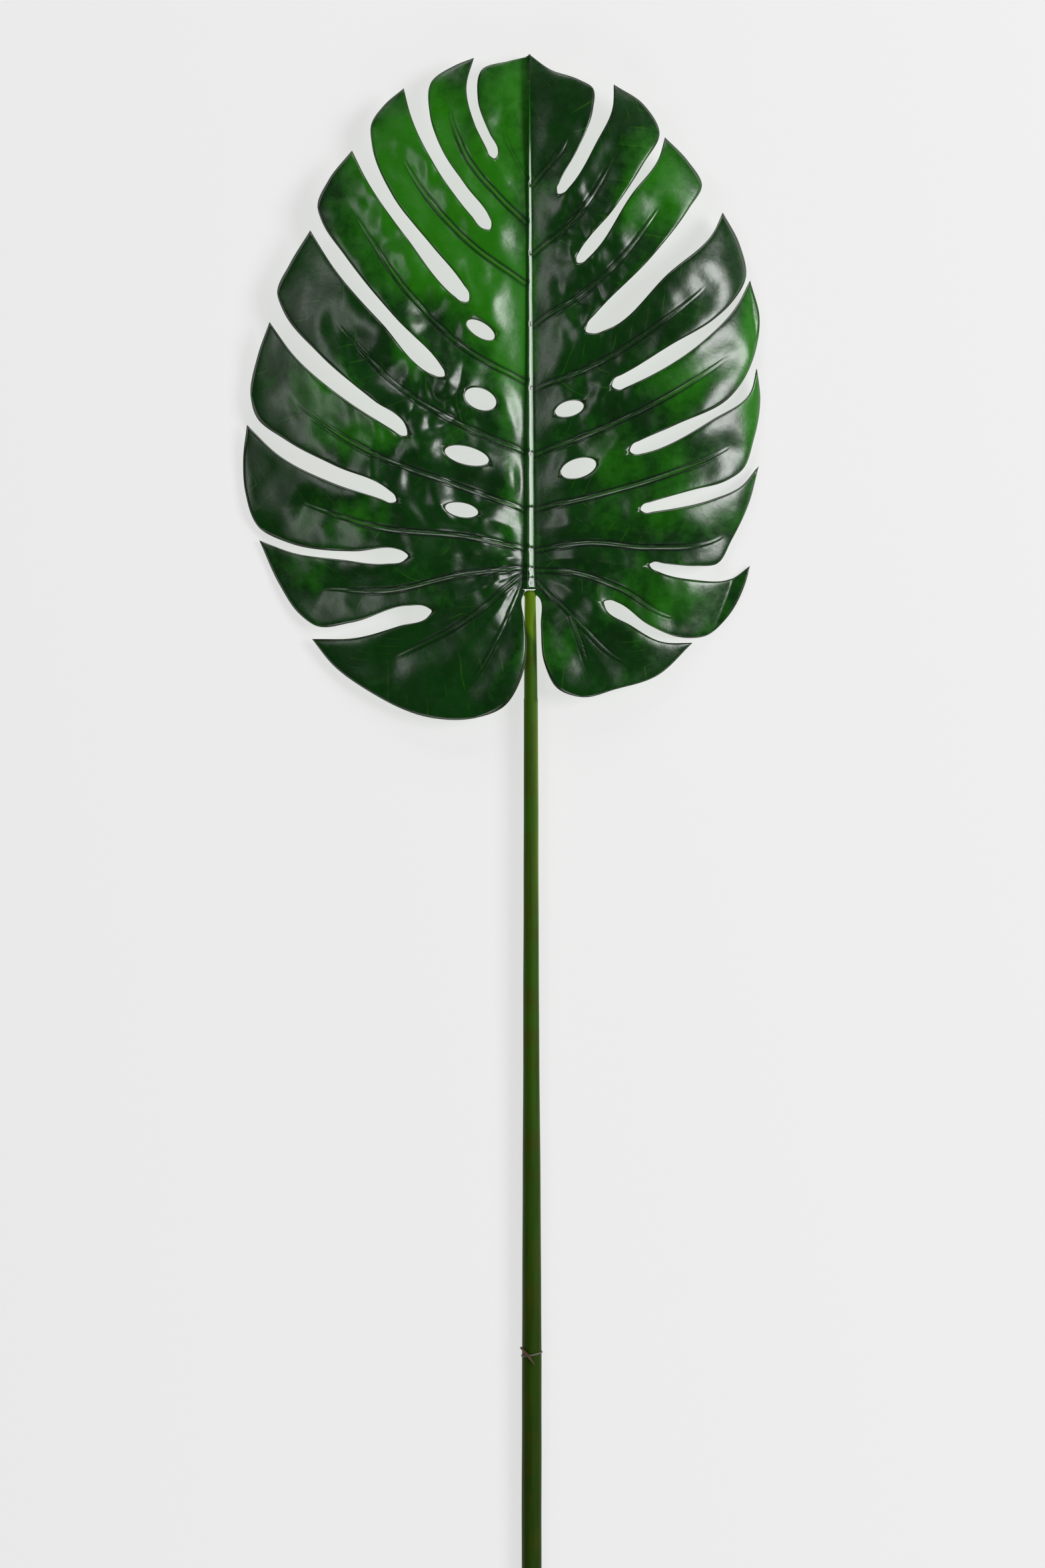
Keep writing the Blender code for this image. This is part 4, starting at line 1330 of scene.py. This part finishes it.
@dataclass(frozen=True)
class PrintedFilm:
    """Leaf face: polyester film, printed in two greens and hot pressed over a vein mould.

    To the eye it is a deep glossy green with cloudy brighter parts and yellow-green hair veins, with
    painted shade in the creases beside each vein, painted light on the curled right rim and a thin
    dark brown line along every free edge.
    """

    name: str = "hot_pressed_printed_film"
    deep: str = "#064604"
    shade: str = "#043604"
    # Bright green of the print, also used as painted light on the curled right rim.
    bright_print_and_lit_rim: str = "#2A8A02"
    hair: str = "#4E9414"
    # Dark green of the painted shade in the grooves beside each vein.
    groove: str = "#06200A"
    edge: str = "#22200A"
    cloud_mm: float = 24.0
    mottle_mm: float = 4.5
    grain_mm: float = 1.3
    hair_spacing_mm: float = 10.0
    hair_slant: float = -0.9
    hair_stray_mm: float = 3.0
    roughness: float = 0.28

    def make(self) -> bpy.types.Material:
        """Build the material."""
        material, tree, shader = blank(self.name)
        place = own_place(tree)
        brightness, ridge, groove, rim = painted(tree)
        clouds = speckle(tree, place, self.cloud_mm, 4.0, 0.6)
        mottle = speckle(tree, place, self.mottle_mm, 3.0, 0.6)
        colour = mixed(tree, ranged(tree, clouds, 0.35, 0.62), linear(self.shade), linear(self.deep))
        uneven = maths(tree, "MULTIPLY_ADD", mottle, 0.5, -0.25)
        amount = maths(tree, "ADD", brightness, uneven, clamped=True)
        # Bright green print, which on the curled right rim is painted light.
        colour = mixed(tree, ranged(tree, amount, 0.12, 0.8), colour, linear(self.bright_print_and_lit_rim))
        colour = mixed(tree, self.hair_veins(tree, place), colour, linear(self.hair))
        lit = maths(tree, "MULTIPLY_ADD", brightness, 0.3, 0.05)
        colour = mixed(tree, maths(tree, "MULTIPLY", ridge, lit, clamped=True), colour, linear(self.hair))
        # Painted shade in the grooves beside each vein.
        colour = mixed(tree, groove, colour, linear(self.groove))
        colour = mixed(tree, rim, colour, linear(self.edge))
        tree.links.new(colour, shader.inputs["Base Color"])
        rough = maths(tree, "MULTIPLY_ADD", mottle, 0.16, self.roughness - 0.08)
        tree.links.new(rough, shader.inputs["Roughness"])
        shader.inputs["Specular IOR Level"].default_value = 1.0
        pebble = bumped(tree, speckle(tree, place, self.grain_mm), 0.08, 0.2)
        tree.links.new(bumped(tree, clouds, 0.3, 1.2, pebble), shader.inputs["Normal"])
        return material

    def hair_veins(self, tree: bpy.types.NodeTree, place: Socket) -> Socket:
        """Draw hair veins: thin slanting lines to both sides of a vein, broken up by a noise."""
        flow = add(tree, "ShaderNodeUVMap", uv_map="flow").outputs[0]
        parts = add(tree, "ShaderNodeSeparateXYZ", {0: flow}).outputs
        beside = maths(tree, "ABSOLUTE", parts[1])
        slant = maths(tree, "MULTIPLY_ADD", beside, self.hair_slant, parts[0])
        line = add(tree, "ShaderNodeCombineXYZ", {0: slant}).outputs[0]
        stray = add(tree, "ShaderNodeTexNoise", {"Vector": place, "Scale": per_metre(18.0)}).outputs["Color"]
        stray = scaled(tree, stray, self.hair_stray_mm * MM)
        line = add(tree, "ShaderNodeVectorMath", {0: line, 1: stray}, operation="ADD").outputs[0]
        scale = 0.314 * per_metre(self.hair_spacing_mm)
        wave = add(tree, "ShaderNodeTexWave", {"Vector": line, "Scale": scale}, bands_direction="X")
        thin = ranged(tree, wave.outputs["Fac"], 0.975, 0.998)
        where = ranged(tree, speckle(tree, place, 13.0), 0.5, 0.68, to_high=0.3)
        return maths(tree, "MULTIPLY", thin, where)


@dataclass(frozen=True)
class PlainFilm:
    """Leaf back and cut edge: the same film without its gloss, one matt colour with a fine grain."""

    name: str
    colour: str
    patch: str
    roughness: float = 0.6
    grain_mm: float = 2.0

    def make(self) -> bpy.types.Material:
        """Build the material."""
        material, tree, shader = blank(self.name)
        grain = speckle(tree, own_place(tree), self.grain_mm, 5.0, 0.7)
        colour = mixed(tree, ranged(tree, grain, 0.3, 0.7), linear(self.colour), linear(self.patch))
        tree.links.new(colour, shader.inputs["Base Color"])
        shader.inputs["Roughness"].default_value = self.roughness
        tree.links.new(bumped(tree, grain, 0.3, 0.2), shader.inputs["Normal"])
        return material


@dataclass(frozen=True)
class RibFilm:
    """Midrib: the printed film pressed over a solid core, saturated green with a hard gloss, a painted
    highlight on its right flank and painted shade where it dips at each vein.
    """

    name: str = "film_over_rib_core"
    flank: str = "#126004"
    # Lighter green of the painted highlight on the right flank.
    crown: str = "#2F7A28"
    # Dark green of the painted shade at the vein joints, also the colour that the streaks darken towards.
    joint_shade: str = "#0B3208"
    streak_mm: float = 1.1
    roughness: float = 0.16

    def make(self) -> bpy.types.Material:
        """Build the material."""
        material, tree, shader = blank(self.name)
        flow = add(tree, "ShaderNodeUVMap", uv_map="flow").outputs[0]
        lit_flank, joint_shade, _, _ = painted(tree)
        streaks = speckle(tree, stretched(tree, flow, (0.07, 1.0, 1.0)), self.streak_mm, 3.0)
        # Painted highlight on the right flank.
        colour = mixed(tree, lit_flank, linear(self.flank), linear(self.crown))
        colour = mixed(tree, maths(tree, "MULTIPLY", streaks, 0.5), colour, linear(self.joint_shade))
        # Painted shade where the rib dips at each vein.
        colour = mixed(tree, joint_shade, colour, linear(self.joint_shade))
        tree.links.new(colour, shader.inputs["Base Color"])
        shader.inputs["Roughness"].default_value = self.roughness
        shader.inputs["Specular IOR Level"].default_value = 1.0
        tree.links.new(bumped(tree, streaks, 0.12, 0.2), shader.inputs["Normal"])
        return material


@dataclass(frozen=True)
class StemSleeve:
    """Stem: an extruded polyethylene sleeve, lime at the blade and olive towards the cut; the lime top is
    partly its own tint and partly painted light, ending at a slanted painted shadow.

    To the eye it is waxy and half matt, with faint streaks along it and a painted highlight on its right
    shoulder.
    """

    name: str = "extruded_polyethylene_sleeve"
    # Lime of the top: partly the sleeve's tint, partly painted light above the painted shadow edge.
    lime_and_lit: str = "#6A9200"
    olive: str = "#3C6800"
    deep: str = "#2C4A00"
    brown: str = "#484800"
    # Paler green of the painted highlight on the right shoulder.
    pale: str = "#7E9A3A"
    streak_mm: float = 2.4
    blotch_mm: float = 16.0
    roughness: float = 0.5
    specular: float = 0.15

    def make(self) -> bpy.types.Material:
        """Build the material."""
        material, tree, shader = blank(self.name)
        place = own_place(tree)
        lime_and_lit, pale, dark, _ = painted(tree)
        streaks = speckle(tree, stretched(tree, place, (1.0, 0.06, 1.0)), self.streak_mm, 4.0, 0.6)
        blotches = speckle(tree, place, self.blotch_mm, 3.0)
        colour = mixed(tree, dark, linear(self.olive), linear(self.deep))
        colour = mixed(tree, ranged(tree, blotches, 0.48, 0.72, to_high=0.6), colour, linear(self.brown))
        # Lime top: partly tint, partly painted light above a painted shadow edge.
        colour = mixed(tree, lime_and_lit, colour, linear(self.lime_and_lit))
        # Painted highlight on the right shoulder.
        colour = mixed(tree, pale, colour, linear(self.pale))
        colour = scaled(tree, colour, ranged(tree, streaks, 0.35, 0.7, 0.82, 1.12))
        tree.links.new(colour, shader.inputs["Base Color"])
        shader.inputs["Roughness"].default_value = self.roughness
        shader.inputs["Specular IOR Level"].default_value = self.specular
        tree.links.new(bumped(tree, streaks, 0.3, 0.3), shader.inputs["Normal"])
        return material


@dataclass(frozen=True)
class TwistedFibre:
    """Tie: dry flat fibre, grey where it goes round and pinkish brown at its torn end."""

    name: str = "dry_flat_fibre"
    grey: str = "#77786A"
    warm: str = "#7A5A48"
    strand_mm: float = 0.35
    roughness: float = 0.75

    def make(self) -> bpy.types.Material:
        """Build the material."""
        material, tree, shader = blank(self.name)
        warmth, _, _, _ = painted(tree)
        strands = speckle(tree, stretched(tree, own_place(tree), (0.2, 1.0, 1.0)), self.strand_mm, 3.0)
        colour = mixed(tree, warmth, linear(self.grey), linear(self.warm))
        colour = scaled(tree, colour, ranged(tree, strands, 0.3, 0.7, 0.7, 1.2))
        tree.links.new(colour, shader.inputs["Base Color"])
        shader.inputs["Roughness"].default_value = self.roughness
        tree.links.new(bumped(tree, strands, 0.6, 0.15), shader.inputs["Normal"])
        return material


# ---------------------------------------------------------------------------------------------
# The studio
# ---------------------------------------------------------------------------------------------


@dataclass(frozen=True)
class Softbox:
    """A rectangular soft light that leans over the table from one side. Sizes are in metres."""

    name: str
    bearing: float
    lean: float
    shift: float
    width: float
    length: float
    radiance: float
    distance: float = 2.6

    def place(self, centre: Vector) -> None:
        """Put the light at its lean from straight up, on its bearing from the right, facing down.

        It is shifted along its own length, and its power is its radiance times its area times pi.
        """
        light = bpy.data.lights.new(self.name, "AREA")
        light.shape = "RECTANGLE"
        light.size = self.width
        light.size_y = self.length
        light.energy = self.radiance * self.width * self.length * math.pi
        lamp = bpy.data.objects.new(self.name, light)
        lean, bearing = math.radians(self.lean), math.radians(self.bearing)
        outward = Vector((math.cos(bearing), math.sin(bearing), 0))
        along = Vector((-math.sin(bearing), math.cos(bearing), 0))
        up = Vector((0, 0, math.cos(lean)))
        lamp.location = centre + (outward * math.sin(lean) + up) * self.distance + along * self.shift
        lamp.rotation_euler = (0, lean, bearing)
        bpy.context.scene.collection.objects.link(lamp)


@dataclass
class Studio:
    """A pale table, softboxes on all four sides and a camera straight above. The view is in millimetres."""

    origin: Vector
    table_half: float = 4.0
    table_colour: str = "#A8A8A8"
    table_glow: float = 0.63
    ambient: float = 0.01
    view_centre: Point = (-3.45, -101.9)
    view_plane: float = 12.0
    view_height: float = 811.8
    lens: float = 85.0
    sensor: float = 36.0
    lights: tuple[Softbox, ...] = (
        Softbox("softbox_right", bearing=0.0, lean=48.0, shift=0.3, width=1.0, length=1.2, radiance=8.5),
        Softbox("strip_left", bearing=180.0, lean=29.0, shift=-0.3, width=0.42, length=1.3, radiance=1.7),
        Softbox("fill_left", bearing=180.0, lean=40.0, shift=-0.3, width=1.3, length=1.3, radiance=0.35),
        Softbox("softbox_far", bearing=90.0, lean=66.0, shift=0.0, width=1.0, length=2.0, radiance=2.6),
        Softbox("softbox_near", bearing=270.0, lean=66.0, shift=0.0, width=1.0, length=2.0, radiance=2.6),
    )

    def table(self) -> bpy.types.Object:
        """Build the table top: a plain white board, lit a little from within."""
        h = self.table_half
        mesh = bpy.data.meshes.new("table")
        mesh.from_pydata([(-h, -h, 0), (h, -h, 0), (h, h, 0), (-h, h, 0)], [], [(0, 1, 2, 3)])
        material, tree, shader = blank("matt_acrylic_light_table")
        shader.inputs["Base Color"].default_value = linear(self.table_colour)
        shader.inputs["Roughness"].default_value = 0.9
        shader.inputs["Specular IOR Level"].default_value = 0.1
        shader.inputs["Emission Color"].default_value = (1.0, 1.0, 1.0, 1.0)
        shader.inputs["Emission Strength"].default_value = self.table_glow
        mesh.materials.append(material)
        made = bpy.data.objects.new("table", mesh)
        bpy.context.scene.collection.objects.link(made)
        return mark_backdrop(made) or made

    def camera(self) -> None:
        """Put the camera straight above the leaf, with the apex at the top of the picture."""
        data = bpy.data.cameras.new("camera")
        data.lens = self.lens
        data.sensor_fit = "VERTICAL"
        data.sensor_height = self.sensor
        made = bpy.data.objects.new("camera", data)
        x, y = self.view_centre
        distance = self.view_height * self.lens / self.sensor
        made.location = self.origin + Vector((x, y, self.view_plane + distance)) * MM
        bpy.context.scene.collection.objects.link(made)
        bpy.context.scene.camera = made

    def build(self) -> None:
        """Set up the table, the lights, the dim room and the camera."""
        self.table()
        for light in self.lights:
            light.place(self.origin)
        world = bpy.data.worlds.new("room")
        world.use_nodes = True
        world.node_tree.nodes["Background"].inputs["Color"].default_value = (1, 1, 1, 1)
        world.node_tree.nodes["Background"].inputs["Strength"].default_value = self.ambient
        bpy.context.scene.world = world
        bpy.context.scene.view_settings.view_transform = "Standard"
        self.camera()


def report(piece: bpy.types.Object, node: str) -> None:
    """Give a piece its body, hide the CAD node it stands for, and log its size."""
    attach(piece, "root")
    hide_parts(node)
    mesh = piece.data
    LOG.info("%s: %d points, %d faces", piece.name, len(mesh.vertices), len(mesh.polygons))


def main() -> None:
    """Build the leaf piece by piece and set it in the studio."""
    logging.basicConfig(level=logging.INFO, format="%(name)s %(message)s")
    low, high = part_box("midrib")
    origin = Vector(((low.x + high.x) / 2, low.y - Midrib.foot * MM, 0.0))
    plan = LeafPlan()
    form = BladeForm(plan)
    film = [
        PrintedFilm().make(),
        PlainFilm("matt_film_back", "#4E7A34", "#5D8A40").make(),
        PlainFilm("cut_film_edge", "#1E2A0C", "#2C3010").make(),
    ]
    for name, drawing in (("blade_left", LEFT_HALF), ("blade_right", RIGHT_HALF)):
        report(BladeHalf(drawing, form, origin).build(name, film), "leaf_blade")
    report(Midrib(form, origin).build("midrib_rib", RibFilm().make()), "midrib")
    stem = Stem(origin)
    report(stem.build("stem_sleeve", StemSleeve().make()), "stem")
    report(Tie(stem, origin).build("tie_fibre", TwistedFibre().make()), "tie")
    Studio(origin).build()


if __name__ == "__main__":
    main()
